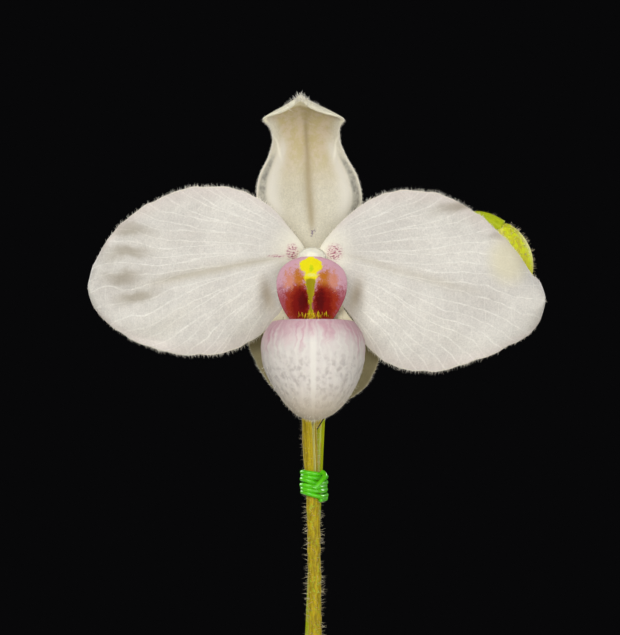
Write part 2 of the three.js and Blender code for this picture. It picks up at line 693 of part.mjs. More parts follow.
// Lip: an egg-shaped pouch. Its rim is level in front, lifts into a rolled lobe on each side,
// and rises at the back to the column.
const LIP_RADIUS = 10.7;
const LIP_WALL = 0.8;
const LIP_LEVEL = -19;
const lipCentre = { x: 0.45, forward: 11.5 };
const lipOuter = [180, 160, 140, 120, 103, 88, 73, 62, 55];
const lipInner = [62, 75, 95, 118, 140, 160, 180];
const lipRows = [
  ...lipOuter.map((angle) => ({ angle, wall: 0 })),
  { angle: 51, wall: LIP_WALL * 0.1 },
  { angle: 50, wall: LIP_WALL * 1.5 },
  { angle: 56, wall: LIP_WALL * 2.1 },
  ...lipInner.map((angle) => ({ angle, wall: LIP_WALL })),
];
const lip = rings(lipRows.length - 1, 26, (row, turn) => {
  const { angle, wall } = lipRows[row];
  const polar = radians(angle);
  const tall = Math.cos(polar) > 0 ? 9 : 15.5;
  const radius = row === 0 || row === lipRows.length - 1 ? 0 : (LIP_RADIUS - wall) * Math.sin(polar);
  const front = Math.cos(turn);
  let z = LIP_LEVEL + (tall - wall) * Math.cos(polar);
  const rimShare = smooth(z, -21, -13.6);
  const lobe = 1.9 * Math.sin(turn) ** 4;
  const rise = 8.4 * smooth(-front, 0.45, 1);
  z += rimShare * (lobe + rise);
  const lean = 1.2 * rimShare * smooth(-front, 0.3, 1);
  const shallow = front < 0 ? 0.96 : 0.9;
  return face(
    lipCentre.x + radius * Math.sin(turn),
    lipCentre.forward + radius * front * shallow - lean,
    z,
  );
});
add(flower, "lip", seated(lip), "#e3dad4", 0.5);

export default group;
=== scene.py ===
import math
import random

import bmesh
import bpy
import numpy as np
from mathutils import Matrix, Vector, noise


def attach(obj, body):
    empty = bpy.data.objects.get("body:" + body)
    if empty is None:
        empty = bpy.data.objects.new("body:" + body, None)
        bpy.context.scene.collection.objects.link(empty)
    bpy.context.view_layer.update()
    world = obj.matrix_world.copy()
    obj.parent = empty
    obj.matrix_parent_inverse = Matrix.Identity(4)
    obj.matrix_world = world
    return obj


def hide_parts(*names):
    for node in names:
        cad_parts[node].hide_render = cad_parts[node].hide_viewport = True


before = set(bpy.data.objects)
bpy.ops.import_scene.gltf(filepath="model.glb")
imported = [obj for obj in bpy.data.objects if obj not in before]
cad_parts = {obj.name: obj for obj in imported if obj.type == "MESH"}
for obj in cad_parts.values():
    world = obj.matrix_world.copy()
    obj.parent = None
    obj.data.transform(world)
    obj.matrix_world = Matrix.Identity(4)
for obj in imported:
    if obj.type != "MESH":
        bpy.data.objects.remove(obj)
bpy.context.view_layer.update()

# Clay pot: a plain flowerpot of red earthenware, thrown on a wheel and fired without a glaze.
# It has a collar round its rim, four drain holes, faint throwing rings, and a pale bloom of salts
# where years of watering have dried through its wall. Sizes in this file are millimetres.
MM = 0.001
POT_HEIGHT = 90
POT_FOOT_RADIUS = 36.5
POT_NECK_RADIUS = 49
POT_NECK_HEIGHT = 68
POT_RIM_RADIUS = 53
POT_INNER_FOOT_RADIUS = 32
POT_INNER_TOP_RADIUS = 48
POT_FLOOR = 6
DRAIN_RADIUS = 4
DRAIN_CIRCLE = 19
THROWING_RELIEF = 0.09
UNEVENNESS = 0.0012


def linear(colour):
    """The linear value of an sRGB hex colour."""
    parts = [int(colour[i : i + 2], 16) / 255 for i in (1, 3, 5)]
    return [c / 12.92 if c <= 0.04045 else ((c + 0.055) / 1.055) ** 2.4 for c in parts] + [1]


def per(size):
    """The scale of a pattern on Object coordinates whose grain is size millimetres."""
    return 1 / (size * MM)


def finish(name, sockets):
    """A new material, with what is even all over the surface set on the shader's own sockets."""
    made = bpy.data.materials.new(name)
    made.use_nodes = True
    shader = made.node_tree.nodes["Principled BSDF"]
    for socket, value in sockets.items():
        shader.inputs[socket].default_value = value
    return made, made.node_tree, shader.inputs


def node(tree, kind, inputs, output=0, **settings):
    """Adds a node with its settings, values and links, and gives one of its outputs."""
    made = tree.nodes.new("ShaderNode" + kind)
    for name, value in settings.items():
        setattr(made, name, value)
    for socket, value in inputs.items():
        if isinstance(value, bpy.types.NodeSocket):
            tree.links.new(value, made.inputs[socket])
        else:
            made.inputs[socket].default_value = value
    return made.outputs[output]


def settle(name, form, material):
    """Makes a finished form, drawn in millimetres, an object of the scene."""
    bmesh.ops.scale(form, vec=(MM, MM, MM), verts=form.verts[:])
    mesh = bpy.data.meshes.new(name)
    form.to_mesh(mesh)
    form.free()
    mesh.shade_smooth()
    mesh.materials.append(material)
    piece = bpy.data.objects.new(name, mesh)
    bpy.context.scene.collection.objects.link(piece)
    return piece


def thrown(profile, steps):
    """A form turned from a profile of [radius, height] pairs that starts and ends on the axis."""
    form = bmesh.new()
    points = [form.verts.new((radius, 0, height)) for radius, height in profile]
    edges = [form.edges.new(pair) for pair in zip(points, points[1:])]
    bmesh.ops.spin(
        form, geom=points + edges, cent=(0, 0, 0), axis=(0, 0, 1), angle=2 * math.pi,
        steps=steps, use_merge=True,
    )
    bmesh.ops.remove_doubles(form, verts=form.verts[:], dist=1e-4)
    bmesh.ops.recalc_face_normals(form, faces=form.faces[:])
    return form


# Red earthenware, fired without glaze: chalky and matt, clouded from orange to brown, with the salts
# in pale patches, and throwing rings and grit that only a low light picks out.
earthenware, tree, shader = finish(
    "fired_earthenware", {"Roughness": 0.88, "Specular IOR Level": 0.3}
)
place = node(tree, "TexCoord", {}, "Object")
clouds = node(tree, "TexNoise", {"Vector": place, "Scale": per(22), "Detail": 6.0})
grit = node(tree, "TexNoise", {"Vector": place, "Scale": per(0.9), "Detail": 3.0})
clay = node(tree, "Mix", {0: clouds, 6: linear("#A9573A"), 7: linear("#C7805C")}, 2, data_type="RGBA")
clay = node(
    tree, "Mix", {0: grit, 6: clay, 7: linear("#B86E4C")}, 2, data_type="RGBA", blend_type="SOFT_LIGHT"
)
salts = node(tree, "TexNoise", {"Vector": place, "Scale": per(13), "Detail": 9.0, "Roughness": 0.68})
salts = node(tree, "MapRange", {0: salts, 1: 0.52, 2: 0.72, 4: 0.65}, interpolation_type="SMOOTHSTEP")
clay = node(tree, "Mix", {0: salts, 6: clay, 7: linear("#DCC6B2")}, 2, data_type="RGBA")
tree.links.new(clay, shader["Base Color"])
rings = node(
    tree, "TexWave", {"Vector": place, "Scale": per(2.4) / 20, "Distortion": 1.2, "Detail": 2.0},
    bands_direction="Z",
)
relief = node(tree, "Bump", {"Height": rings, "Strength": 0.18, "Distance": 0.3 * MM})
relief = node(
    tree, "Bump", {"Height": grit, "Normal": relief, "Strength": 0.35, "Distance": 0.25 * MM}
)
tree.links.new(relief, shader["Normal"])

pot_profile = [
    (0, 0), (POT_FOOT_RADIUS - 1.5, 0), (POT_FOOT_RADIUS - 0.4, 0.4), (POT_FOOT_RADIUS, 1.5),
]
WALL_STEPS = 26
for i in range(1, WALL_STEPS + 1):
    share = i / WALL_STEPS
    radius = POT_FOOT_RADIUS + (POT_NECK_RADIUS - POT_FOOT_RADIUS) * share
    pot_profile.append((radius + THROWING_RELIEF * math.sin(2.6 * i), 1.5 + (POT_NECK_HEIGHT - 2.5) * share))
pot_profile += [
    (POT_NECK_RADIUS + 0.5, POT_NECK_HEIGHT - 0.5), (POT_RIM_RADIUS - 1, POT_NECK_HEIGHT),
    (POT_RIM_RADIUS - 0.3, POT_NECK_HEIGHT + 0.4), (POT_RIM_RADIUS, POT_NECK_HEIGHT + 1.5),
    (POT_RIM_RADIUS + 0.4, POT_NECK_HEIGHT + 9), (POT_RIM_RADIUS + 0.8, POT_HEIGHT - 2.5),
    (POT_RIM_RADIUS + 0.5, POT_HEIGHT - 0.9), (POT_RIM_RADIUS - 0.8, POT_HEIGHT),
    (POT_INNER_TOP_RADIUS + 1.2, POT_HEIGHT), (POT_INNER_TOP_RADIUS + 0.3, POT_HEIGHT - 0.5),
    (POT_INNER_TOP_RADIUS, POT_HEIGHT - 1.5), (POT_INNER_FOOT_RADIUS, POT_FLOOR), (0, POT_FLOOR),
]
POT_STEPS = 144
form = thrown(pot_profile, POT_STEPS)
for vert in form.verts:
    if vert.co.z > 2:
        vert.co *= 1 + UNEVENNESS * noise.noise(vert.co / 30)
pot = settle("clay_pot", form, earthenware)
cutter = bmesh.new()
for i in range(4):
    turn = math.pi * (i + 0.5) / 2
    spot = Matrix.Translation((DRAIN_CIRCLE * math.cos(turn), DRAIN_CIRCLE * math.sin(turn), 0))
    bmesh.ops.create_cone(
        cutter, cap_ends=True, segments=32, radius1=DRAIN_RADIUS, radius2=DRAIN_RADIUS,
        depth=3 * POT_FLOOR, matrix=spot,
    )
cutter = settle("drain_cutter", cutter, earthenware)
drains = pot.modifiers.new("drains", "BOOLEAN")
drains.operation = "DIFFERENCE"
drains.object = cutter
bpy.context.view_layer.update()
holed = bpy.data.meshes.new_from_object(pot.evaluated_get(bpy.context.evaluated_depsgraph_get()))
pot.modifiers.clear()
pot.data = holed
pot.data.set_sharp_from_angle(angle=math.radians(40))
bpy.data.objects.remove(cutter)
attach(pot, "root")
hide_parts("pot")

# Potting mix: chips of fir bark, the open mix that slipper orchids are grown in.
# Broken from the trunk in flakes, dark and damp below, dusty brown on top.
MIX_HEIGHT = 74
MIX_RADIUS = 41
MAIN_FOOT = (0, 0)
SIDE_FOOT = (6, 29)
FOOT_CLEARANCE = 8.5
CHIP_SHAPES = 7
CHIPS = 420
CHIP_LENGTHS = (8, 13)
CHIP_WIDTHS = (5, 8.5)
CHIP_DEPTHS = (3, 5)
BED_DEPTH = 3
inner_slope = (POT_INNER_TOP_RADIUS - POT_INNER_FOOT_RADIUS) / (POT_HEIGHT - 1.5 - POT_FLOOR)


def strewn(form, shapes, places):
    """Copies shapes into a form, each at its own place."""
    coordinates = []
    for shape in shapes:
        own = np.zeros(len(shape.vertices) * 3, np.float32)
        shape.vertices.foreach_get("co", own)
        coordinates.append(own)
    for i, spot in enumerate(places):
        shape = shapes[i % len(shapes)]
        shape.vertices.foreach_set("co", coordinates[i % len(shapes)])
        shape.transform(spot)
        form.from_mesh(shape)
    for shape in shapes:
        bpy.data.meshes.remove(shape)
    return form


# Fir bark: dull and rough, dark in its hollows, in layers of brown that differ from chip to chip.
bark, tree, shader = finish("fir_bark", {"Roughness": 0.95, "Specular IOR Level": 0.25})
place = node(tree, "TexCoord", {}, "Object")
chip_tint = node(tree, "NewGeometry", {}, "Random Per Island")
layers = node(tree, "Mapping", {"Vector": place, "Scale": (1, 0.35, 2.2)})
layers = node(tree, "TexNoise", {"Vector": layers, "Scale": per(1.6), "Detail": 6.0, "Roughness": 0.65})
dry = node(tree, "Mix", {0: chip_tint, 6: linear("#5E3D29"), 7: linear("#A0714B")}, 2, data_type="RGBA")
bark_colour = node(tree, "Mix", {0: layers, 6: linear("#2B1B13"), 7: dry}, 2, data_type="RGBA")
tree.links.new(bark_colour, shader["Base Color"])
relief = node(tree, "Bump", {"Height": layers, "Strength": 0.7, "Distance": 0.6 * MM})
tree.links.new(relief, shader["Normal"])

rng = random.Random(11)
noise.seed_set(11)  # the vector noise takes the clock for a seed unless it is given one
chip_shapes = []
for i in range(CHIP_SHAPES):
    form = bmesh.new()
    bmesh.ops.create_cube(form, size=1)
    bmesh.ops.bevel(
        form, geom=form.edges[:], offset=0.13, affect="EDGES", segments=1, profile=0.5, material=-1
    )
    chip_size = (rng.uniform(*CHIP_LENGTHS), rng.uniform(*CHIP_WIDTHS), rng.uniform(*CHIP_DEPTHS))
    bmesh.ops.scale(form, vec=chip_size, verts=form.verts[:])
    for vert in form.verts:
        vert.co += 1.9 * noise.noise_vector(vert.co / 5 + Vector((20 * i, 0, 0)))
    chip = bpy.data.meshes.new("chip")
    form.to_mesh(chip)
    form.free()
    chip_shapes.append(chip)
chip_places = []
for i in range(CHIPS):
    radius = MIX_RADIUS * math.sqrt((i + 0.5) / CHIPS)
    turn = i * math.pi * (3 - math.sqrt(5))
    x, y = radius * math.cos(turn), radius * math.sin(turn)
    to_crown = min(math.dist((x, y), foot) for foot in (MAIN_FOOT, SIDE_FOOT))
    size = rng.uniform(0.6, 1.05)
    height = MIX_HEIGHT + rng.uniform(-3.5, 3.2)
    tilt = Matrix.Rotation(rng.gauss(0, 0.3), 4, "X") @ Matrix.Rotation(rng.gauss(0, 0.3), 4, "Y")
    turned = Matrix.Rotation(rng.uniform(0, 2 * math.pi), 4, "Z") @ tilt @ Matrix.Scale(size, 4)
    spot = Matrix.Translation((x, y, height))
    if to_crown > FOOT_CLEARANCE:
        chip_places.append(spot @ turned)
bed_top = MIX_HEIGHT - BED_DEPTH
bed_radius = POT_INNER_FOOT_RADIUS + inner_slope * (bed_top - POT_FLOOR) - 0.6
bed_foot = [(0, POT_FLOOR + 0.4), (POT_INNER_FOOT_RADIUS - 0.6, POT_FLOOR + 0.4)]
form = thrown([*bed_foot, (bed_radius, bed_top), (0, bed_top)], 64)
mix = settle("bark_chips", strewn(form, chip_shapes, chip_places), bark)
mix.data.shade_flat()
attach(mix, "root")
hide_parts("potting_mix")

# Crowns: the two short stems that the leaves grow from, sheathed in the folded feet of the leaves.
# Fleshy green, paler towards the mix where light doesn't reach.
CROWN_DEPTH = 12
CROWN_SHARES = [0, 0.03, 0.2, 0.7, 0.88, 1]
CROWN_SWELL = [0, 0.75, 1, 1, 0.8, 0.3]
GROWTHS = {
    "main_crown": {"foot": MAIN_FOOT, "radius": 6.6, "top": MIX_HEIGHT + 23, "node": "crown"},
    "side_crown": {"foot": SIDE_FOOT, "radius": 4.2, "top": MIX_HEIGHT + 14, "node": "young_crown"},
}


def smooth(value, low, high):
    """0 below low, 1 above high, and an even turn between them."""
    t = np.clip((value - low) / (high - low), 0, 1)
    return t * t * (3 - 2 * t)


def shaped(form, points):
    """Moves a form's vertices to their own points."""
    for vert, point in zip(form.verts, points):
        vert.co = point
    bmesh.ops.remove_doubles(form, verts=form.verts[:], dist=1e-4)
    bmesh.ops.recalc_face_normals(form, faces=form.faces[:])
    return form


def stalk(rings, sides, place):
    """A closed round form: place(v, turn) gives its points, v from foot to tip and turn round it.
    It keeps sine and cosine of the turn and v as the attribute round_place."""
    form = bmesh.new()
    kept = form.verts.layers.float_vector.new("round_place")
    bmesh.ops.create_circle(form, segments=sides, radius=1)
    bmesh.ops.spin(
        form, geom=form.verts[:] + form.edges[:], cent=(0, 0, 0), axis=(0, 0, 1), angle=0,
        dvec=(0, 0, 1 / rings), steps=rings, use_duplicate=False,
    )
    bmesh.ops.holes_fill(form, edges=form.edges[:], sides=0)
    for vert in form.verts:
        vert[kept] = vert.co
    flat = np.array([vert.co for vert in form.verts])
    return shaped(form, place(flat[:, 2], np.arctan2(flat[:, 0], flat[:, 1])))


def crown_surface(growth):
    """The skin of a crown, from its foot in the mix to where its last leaf unfolds."""
    low = MIX_HEIGHT - CROWN_DEPTH

    def surface(v, turn):
        radius = growth["radius"] * np.interp(v, CROWN_SHARES, CROWN_SWELL)
        radius = radius * (1 - 0.05 * np.abs(np.sin(turn + 5 * v)) * smooth(v, 0.3, 0.6))
        x, y = growth["foot"]
        height = low + (growth["top"] - low) * v
        return np.stack([x + radius * np.sin(turn), y + radius * np.cos(turn), height], 1)

    return surface


# Leaf sheath: firm moist flesh with a soft shine, fine ribs along it, blanched where it is buried.
crown_skin, tree, shader = finish(
    "leaf_sheath", {"Roughness": 0.45, "Subsurface Weight": 0.1, "Subsurface Scale": 1.5 * MM}
)
place = node(tree, "TexCoord", {}, "Object")
height = node(tree, "SeparateXYZ", {0: place}, "Z")
height = node(tree, "MapRange", {0: height, 1: MIX_HEIGHT * MM, 2: (MIX_HEIGHT + 18) * MM})
streaks = node(tree, "Mapping", {"Vector": place, "Scale": (1, 1, 0.12)})
streaks = node(tree, "TexNoise", {"Vector": streaks, "Scale": per(0.8), "Detail": 4.0})
sheath = node(tree, "Mix", {0: height, 6: linear("#B9BE7C"), 7: linear("#6E8C3C")}, 2, data_type="RGBA")
sheath = node(
    tree, "Mix", {0: streaks, 6: sheath, 7: linear("#8FA455")}, 2, data_type="RGBA", blend_type="MULTIPLY"
)
tree.links.new(sheath, shader["Base Color"])
relief = node(tree, "Bump", {"Height": streaks, "Strength": 0.4, "Distance": 0.25 * MM})
tree.links.new(relief, shader["Normal"])
for name, growth in GROWTHS.items():
    crown = settle(name, stalk(40, 48, crown_surface(growth)), crown_skin)
    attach(crown, "root")
    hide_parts(growth["node"])

# Leaves: fleshy, waxy straps in two ranks, folded along the middle and arching out of the crown.
# Dark green netted with paler green above, and flushed with purple specks beneath.
LEAVES = {
    # crown, height on it, bearing, length, width, slope at the foot and at the tip, sway and wave
    "leaf_1": ("main_crown", 8, 9, 142, 42, 44, -26, -9, 1.4),
    "leaf_2": ("main_crown", 8, 187, 136, 41, 46, -30, 8, 1.6),
    "leaf_3": ("main_crown", 13, -8, 128, 39, 58, -8, -7, 1.2),
    "leaf_4": ("main_crown", 13, 169, 122, 38, 60, -14, -8, 1.3),
    "leaf_5": ("main_crown", 17.5, 6, 92, 31, 74, 26, 5, 0.8),
    "leaf_6": ("main_crown", 17.5, 184, 84, 29, 76, 34, -4, 0.8),
    "young_leaf_1": ("side_crown", 5, 22, 78, 27, 56, 2, 10, 0.7),
    "young_leaf_2": ("side_crown", 6.5, 166, 84, 28, 54, -4, -10, 0.7),
    "young_leaf_3": ("side_crown", 9.5, 78, 56, 20, 74, 36, 3, 0.4),
}
LEAF_ROWS = 150
LEAF_COLUMNS = 46
LEAF_THICKNESS = 1.5


def facing(place, v, u):
    """The direction that a sheet faces at its points."""
    step = 1e-3
    lengthwise = place(np.minimum(v + step, 1), u) - place(np.maximum(v - step, 0), u)
    across = place(v, np.minimum(u + step, 1)) - place(v, np.maximum(u - step, 0))
    normal = np.cross(lengthwise, across)
    return normal / np.maximum(np.linalg.norm(normal, axis=1, keepdims=True), 1e-9)


def sheet(rows, columns, place, thickness, side=1):
    """A thin closed form: place(v, u) gives its middle, v from foot to tip and u from side to side.
    It keeps u, v and the face, 1 in front and 0 behind, as the attribute sheet_place.
    Side is -1 where u runs the other way round, so that the front is still the front."""
    form = bmesh.new()
    kept = form.verts.layers.float_vector.new("sheet_place")
    bmesh.ops.create_grid(form, x_segments=columns, y_segments=rows, size=0.5)
    behind = bmesh.ops.extrude_face_region(form, geom=form.faces[:], use_keep_orig=True)["geom"]
    behind = {part for part in behind if isinstance(part, bmesh.types.BMVert)}
    for vert in form.verts:
        vert[kept] = (vert.co.x + 0.5, vert.co.y + 0.5, vert not in behind)
    u, v, front = np.array([vert[kept] for vert in form.verts]).T
    shift = side * (front - 0.5) * thickness(v, u)
    return shaped(form, place(v, u) + facing(place, v, u) * shift[:, None])


def off_midrib(u):
    """0 on a sheet's midrib, 1 at its margins."""
    return np.abs(2 * u - 1)


def thinned(thickness, loss, power):
    """The thickness of a sheet that is full at its midrib and less by a loss at its margins."""
    return lambda v, u: thickness - loss * off_midrib(u) ** power


def leaf_surface(foot, height, azimuth, length, width, rise, fall, sway, wave):
    """The middle surface of a leaf, its keel an arc from one slope to another."""
    growth = GROWTHS[foot]
    start, end, turn = (math.radians(angle) for angle in (rise, fall, azimuth))
    bend = end - start
    out = np.array([math.cos(turn), math.sin(turn), 0])
    side = np.array([-math.sin(turn), math.cos(turn), 0])
    base = np.array([*growth["foot"], MIX_HEIGHT + height]) + out * (growth["radius"] - 0.6)

    def surface(v, u):
        t = 2 * u - 1
        angle = start + bend * v
        reach = length * (np.sin(angle) - math.sin(start)) / bend
        climb = length * (math.cos(start) - np.cos(angle)) / bend
        swell = 0.34 + 0.66 * np.sin(math.pi / 2 * np.minimum(1, v / 0.45))
        taper = np.sqrt(1 - np.maximum(0, (v - 0.45) / 0.552) ** 2.6)
        half = width / 2 * swell * taper
        fold = np.radians(40 - 33 * smooth(v, 0, 0.55))
        lift = half * (np.sin(fold) * np.sqrt(t * t + 0.01) - 0.1 * t * t * v)
        ripple = wave * t * t * np.sin(2 * math.pi * (2.1 * v + 0.3 * t)) * v
        groove = -0.25 * np.exp(-((t / 0.05) ** 2))
        up = np.stack([-np.sin(angle) * out[0], -np.sin(angle) * out[1], np.cos(angle)], 1)
        middle = base + reach[:, None] * out + climb[:, None] * np.array([0, 0, 1])
        middle = middle + (half * t * np.cos(fold) + sway * v * v)[:, None] * side
        return middle + (lift + ripple + groove)[:, None] * up

    return surface


def off_middle(tree, share):
    """How far a share lies from a half."""
    away = node(tree, "Math", {0: share, 1: 0.5}, operation="SUBTRACT")
    return node(tree, "Math", {0: away}, operation="ABSOLUTE")


def leaf_skin(name, dark, pale):
    """Waxy leaf: a soft sheen over dark green blocks between paler lines, a thin pale margin,
    and purple specks on a dull green back."""
    material, tree, shader = finish(
        name,
        {"Roughness": 0.36, "Coat Weight": 0.12, "Coat Roughness": 0.3, "Specular IOR Level": 0.45},
    )
    spot = node(tree, "Attribute", {}, "Vector", attribute_name="sheet_place")
    u_share = node(tree, "SeparateXYZ", {0: spot}, "X")
    front = node(tree, "SeparateXYZ", {0: spot}, "Z")
    blocks = node(tree, "Mapping", {"Vector": spot, "Scale": (11, 17, 0)})
    ragged = node(tree, "TexNoise", {"Vector": blocks, "Scale": 1.1, "Detail": 3.0}, "Color")
    blocks = node(tree, "Mix", {0: 0.22, 6: blocks, 7: ragged}, 2, data_type="RGBA", blend_type="ADD")
    net = node(tree, "TexVoronoi", {"Vector": blocks, "Scale": 1.0}, feature="DISTANCE_TO_EDGE")
    net = node(
        tree, "MapRange", {0: net, 1: 0.02, 2: 0.26, 3: 1.0, 4: 0.0}, interpolation_type="SMOOTHSTEP"
    )
    object_place = node(tree, "TexCoord", {}, "Object")
    cloud = node(tree, "TexNoise", {"Vector": object_place, "Scale": per(14), "Detail": 5.0})
    strength = node(tree, "MapRange", {0: cloud, 1: 0.35, 2: 0.65, 3: 0.25, 4: 0.95})
    net = node(tree, "Math", {0: net, 1: strength}, operation="MULTIPLY")
    green = node(tree, "Mix", {0: net, 6: linear(dark), 7: linear(pale)}, 2, data_type="RGBA")
    specks = node(tree, "TexVoronoi", {"Vector": object_place, "Scale": per(1.1)})
    specks = node(
        tree, "MapRange", {0: specks, 1: 0.25, 2: 0.42, 3: 0.85, 4: 0.0}, interpolation_type="SMOOTHSTEP"
    )
    under = node(tree, "Mix", {0: specks, 6: linear("#8BA063"), 7: linear("#5E3B4E")}, 2, data_type="RGBA")
    both = node(tree, "Mix", {0: front, 6: under, 7: green}, 2, data_type="RGBA")
    rim = off_middle(tree, u_share)
    rim = node(tree, "MapRange", {0: rim, 1: 0.485, 2: 0.5, 4: 0.6}, interpolation_type="SMOOTHSTEP")
    both = node(tree, "Mix", {0: rim, 6: both, 7: linear("#A9B97C")}, 2, data_type="RGBA")
    tree.links.new(both, shader["Base Color"])
    cells = node(tree, "TexVoronoi", {"Vector": object_place, "Scale": per(0.55)})
    relief = node(tree, "Bump", {"Height": cells, "Strength": 0.12, "Distance": 0.12 * MM})
    relief = node(tree, "Bump", {"Height": net, "Normal": relief, "Strength": 0.2, "Distance": 0.25 * MM})
    tree.links.new(relief, shader["Normal"])
    return material


old_skin = leaf_skin("mottled_leaf", "#38602A", "#7FA05B")
young_skin = leaf_skin("mottled_young_leaf", "#52803A", "#9DB86C")
for name, shape in LEAVES.items():
    young = name.startswith("young")
    form = sheet(LEAF_ROWS, LEAF_COLUMNS, leaf_surface(*shape), thinned(LEAF_THICKNESS, 0.85, 1.5))
    leaf = settle(f"{name}_blade", form, young_skin if young else old_skin)
    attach(leaf, "root")
    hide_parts(name)

# Flower stem: a round fleshy stalk that narrows inside its bract, then swells into the ribbed ovary
# and bends forward to the back of the flower. A branch from the bract's axil carries the bud.
FLOWER_HEIGHT = 272
FLOWER_FORWARD = 14
STEM_RADIUS = 1.4
ROOTED = 0.06  # the share of a hair's length that is under the skin


def face(x, forward, z):
    """A point of the flower's own frame: across, out of its face, and up from where the petals meet."""
    return (x, -FLOWER_FORWARD - forward, FLOWER_HEIGHT + z)


def curve(points, fine=60):
    """A smooth curve through points, as many points and their lengths along it."""
    p = np.array(points, float)
    p = np.vstack([2 * p[0] - p[1], p, 2 * p[-1] - p[-2]])
    gaps = np.sqrt(np.linalg.norm(np.diff(p, axis=0), axis=1))
    t = np.linspace(0, 1, fine, endpoint=False)[:, None]
    line = []
    for i in range(1, len(p) - 2):
        before, here, after = gaps[i - 1], gaps[i], gaps[i + 1]
        step = p[i + 1] - p[i]
        leave = ((p[i] - p[i - 1]) / before - (p[i + 1] - p[i - 1]) / (before + here)) * here + step
        arrive = ((p[i + 2] - p[i + 1]) / after - (p[i + 2] - p[i]) / (here + after)) * here + step
        squared = 3 * step - 2 * leave - arrive
        cubed = leave + arrive - 2 * step
        line.append(p[i] + leave * t + squared * t**2 + cubed * t**3)
    line = np.vstack([*line, p[-2:-1]])
    steps = np.linalg.norm(np.diff(line, axis=0), axis=1)
    return line, np.concatenate([[0], np.cumsum(steps)])


def follow(route, share):
    """Points at shares of a curve's length."""
    line, lengths = route
    return np.stack([np.interp(share * lengths[-1], lengths, line[:, k]) for k in range(3)], 1)


def heading(route, share):
    """The directions of a curve at shares of its length."""
    step = 4e-3
    ahead = follow(route, np.minimum(share + step, 1)) - follow(route, np.maximum(share - step, 0))
    return ahead / np.linalg.norm(ahead, axis=1, keepdims=True)


def along(pairs, at):
    """A smooth value along [place, value] pairs, with no overshoot between them."""
    places, values = np.array(pairs, float).T
    spans, rises = np.diff(places), np.diff(values)
    slopes = np.zeros(len(places))
    chords = (values[2:] - values[:-2]) / (places[2:] - places[:-2])
    slopes[1:-1] = np.where(rises[:-1] * rises[1:] > 0, chords, 0)
    i = np.clip(np.searchsorted(places, at, side="right") - 1, 0, len(spans) - 1)
    t = np.clip((at - places[i]) / spans[i], 0, 1)
    eased = values[i] + rises[i] * t * t * (3 - 2 * t)
    return eased + spans[i] * t * (1 - t) * ((1 - t) * slopes[i] - t * slopes[i + 1])


def round_a_curve(route, radius, reference):
    """The surface of a stalk along a curve. The reference is a direction that the curve never takes."""

    def surface(v, turn):
        axis = heading(route, v)
        normal = reference - axis * (axis @ reference)[:, None]
        normal /= np.linalg.norm(normal, axis=1, keepdims=True)
        sideways = np.cross(axis, normal)
        arm = normal * np.cos(turn)[:, None] + sideways * np.sin(turn)[:, None]
        return follow(route, v) + arm * radius(v, turn)[:, None]

    return surface


ACROSS = np.array([1.0, 0, 0])
BACK = np.array([0, 1.0, 0])
UP = np.array([0, 0, 1.0])
stem_route = curve([
    (0, 0, MIX_HEIGHT - CROWN_DEPTH + 8.5), (0.1, 0, 110), face(0.55, -14, -120), face(0.85, -14, -78),
    face(0.4, -14, -52), face(-0.3, -14, -38), face(-0.3, -13.6, -25), face(-0.1, -12.4, -14),
    face(0.1, -9.6, -6), face(0.2, -6, -1.8), face(0.2, -2.2, -0.9),
])
stem_length = stem_route[1][-1]
STEM_WIDTHS = [
    [0, STEM_RADIUS], [stem_length - 51, STEM_RADIUS], [stem_length - 49.5, 0.9], [stem_length - 39, 0.95],
    [stem_length - 24, 2], [stem_length - 8, 2.1], [stem_length, 2.3],
]
branch_route = curve([
    face(-0.2, -14, -32.5), face(1.2, -14.4, -28), face(5.5, -15.4, -22.5), face(13, -16, -13),
    face(22, -15.6, -2.6), face(29.5, -14.6, 5.4), face(34.4, -13.6, 8.1), face(37.6, -12.7, 7.9),
    face(41, -12.2, 6.2),
])
branch_length = branch_route[1][-1]
BRANCH_WIDTHS = [[0, 0.8], [20, 1], [35, 1.1], [52, 1.6], [branch_length, 1.7]]


def stem_radius(v, turn):
    ribs = 0.14 * np.cos(6 * turn) * smooth(v * stem_length, stem_length - 36, stem_length - 22)
    lumps = 0.05 * np.sin(2.1 * v * stem_length + 2 * turn) + 0.04 * np.sin(0.63 * v * stem_length - turn)
    return along(STEM_WIDTHS, v * stem_length) + ribs + lumps


def branch_radius(v, turn):
    ribs = 0.1 * np.cos(6 * turn) * smooth(v * branch_length, 34, 46)
    return along(BRANCH_WIDTHS, v * branch_length) + ribs


def hair_shapes(foot_radius, bends):
    """Short bent hairs one unit long, each a three-sided cone cut once across."""
    shapes = []
    for bend in bends:
        form = bmesh.new()
        bmesh.ops.create_cone(
            form, cap_ends=True, segments=3, radius1=foot_radius, radius2=0, depth=1,
            matrix=Matrix.Translation((0, 0, 0.5)),
        )
        parts = form.verts[:] + form.edges[:] + form.faces[:]
        bmesh.ops.bisect_plane(form, geom=parts, plane_co=(0, 0, 0.5), plane_no=(0, 0, 1))
        for vert in form.verts:
            vert.co.x += bend * vert.co.z**2
        shape = bpy.data.meshes.new("hair")
        form.to_mesh(shape)
        form.free()
        shapes.append(shape)
    return shapes


def hair_places(roots, directions, lengths, seed):
    """Where hairs stand: rooted a little under the skin, each turned at random about itself."""
    rng = random.Random(seed)
    places = []
    for root, direction, length in zip(roots, directions, lengths):
        heading_to = Vector(direction).to_track_quat("Z", "X").to_matrix().to_4x4()
        spin = Matrix.Rotation(rng.uniform(0, 2 * math.pi), 4, "Z")
        foot = Vector(root) - Vector(direction).normalized() * float(ROOTED * length)
        places.append(Matrix.Translation(foot) @ heading_to @ spin @ Matrix.Scale(length, 4))
    return places


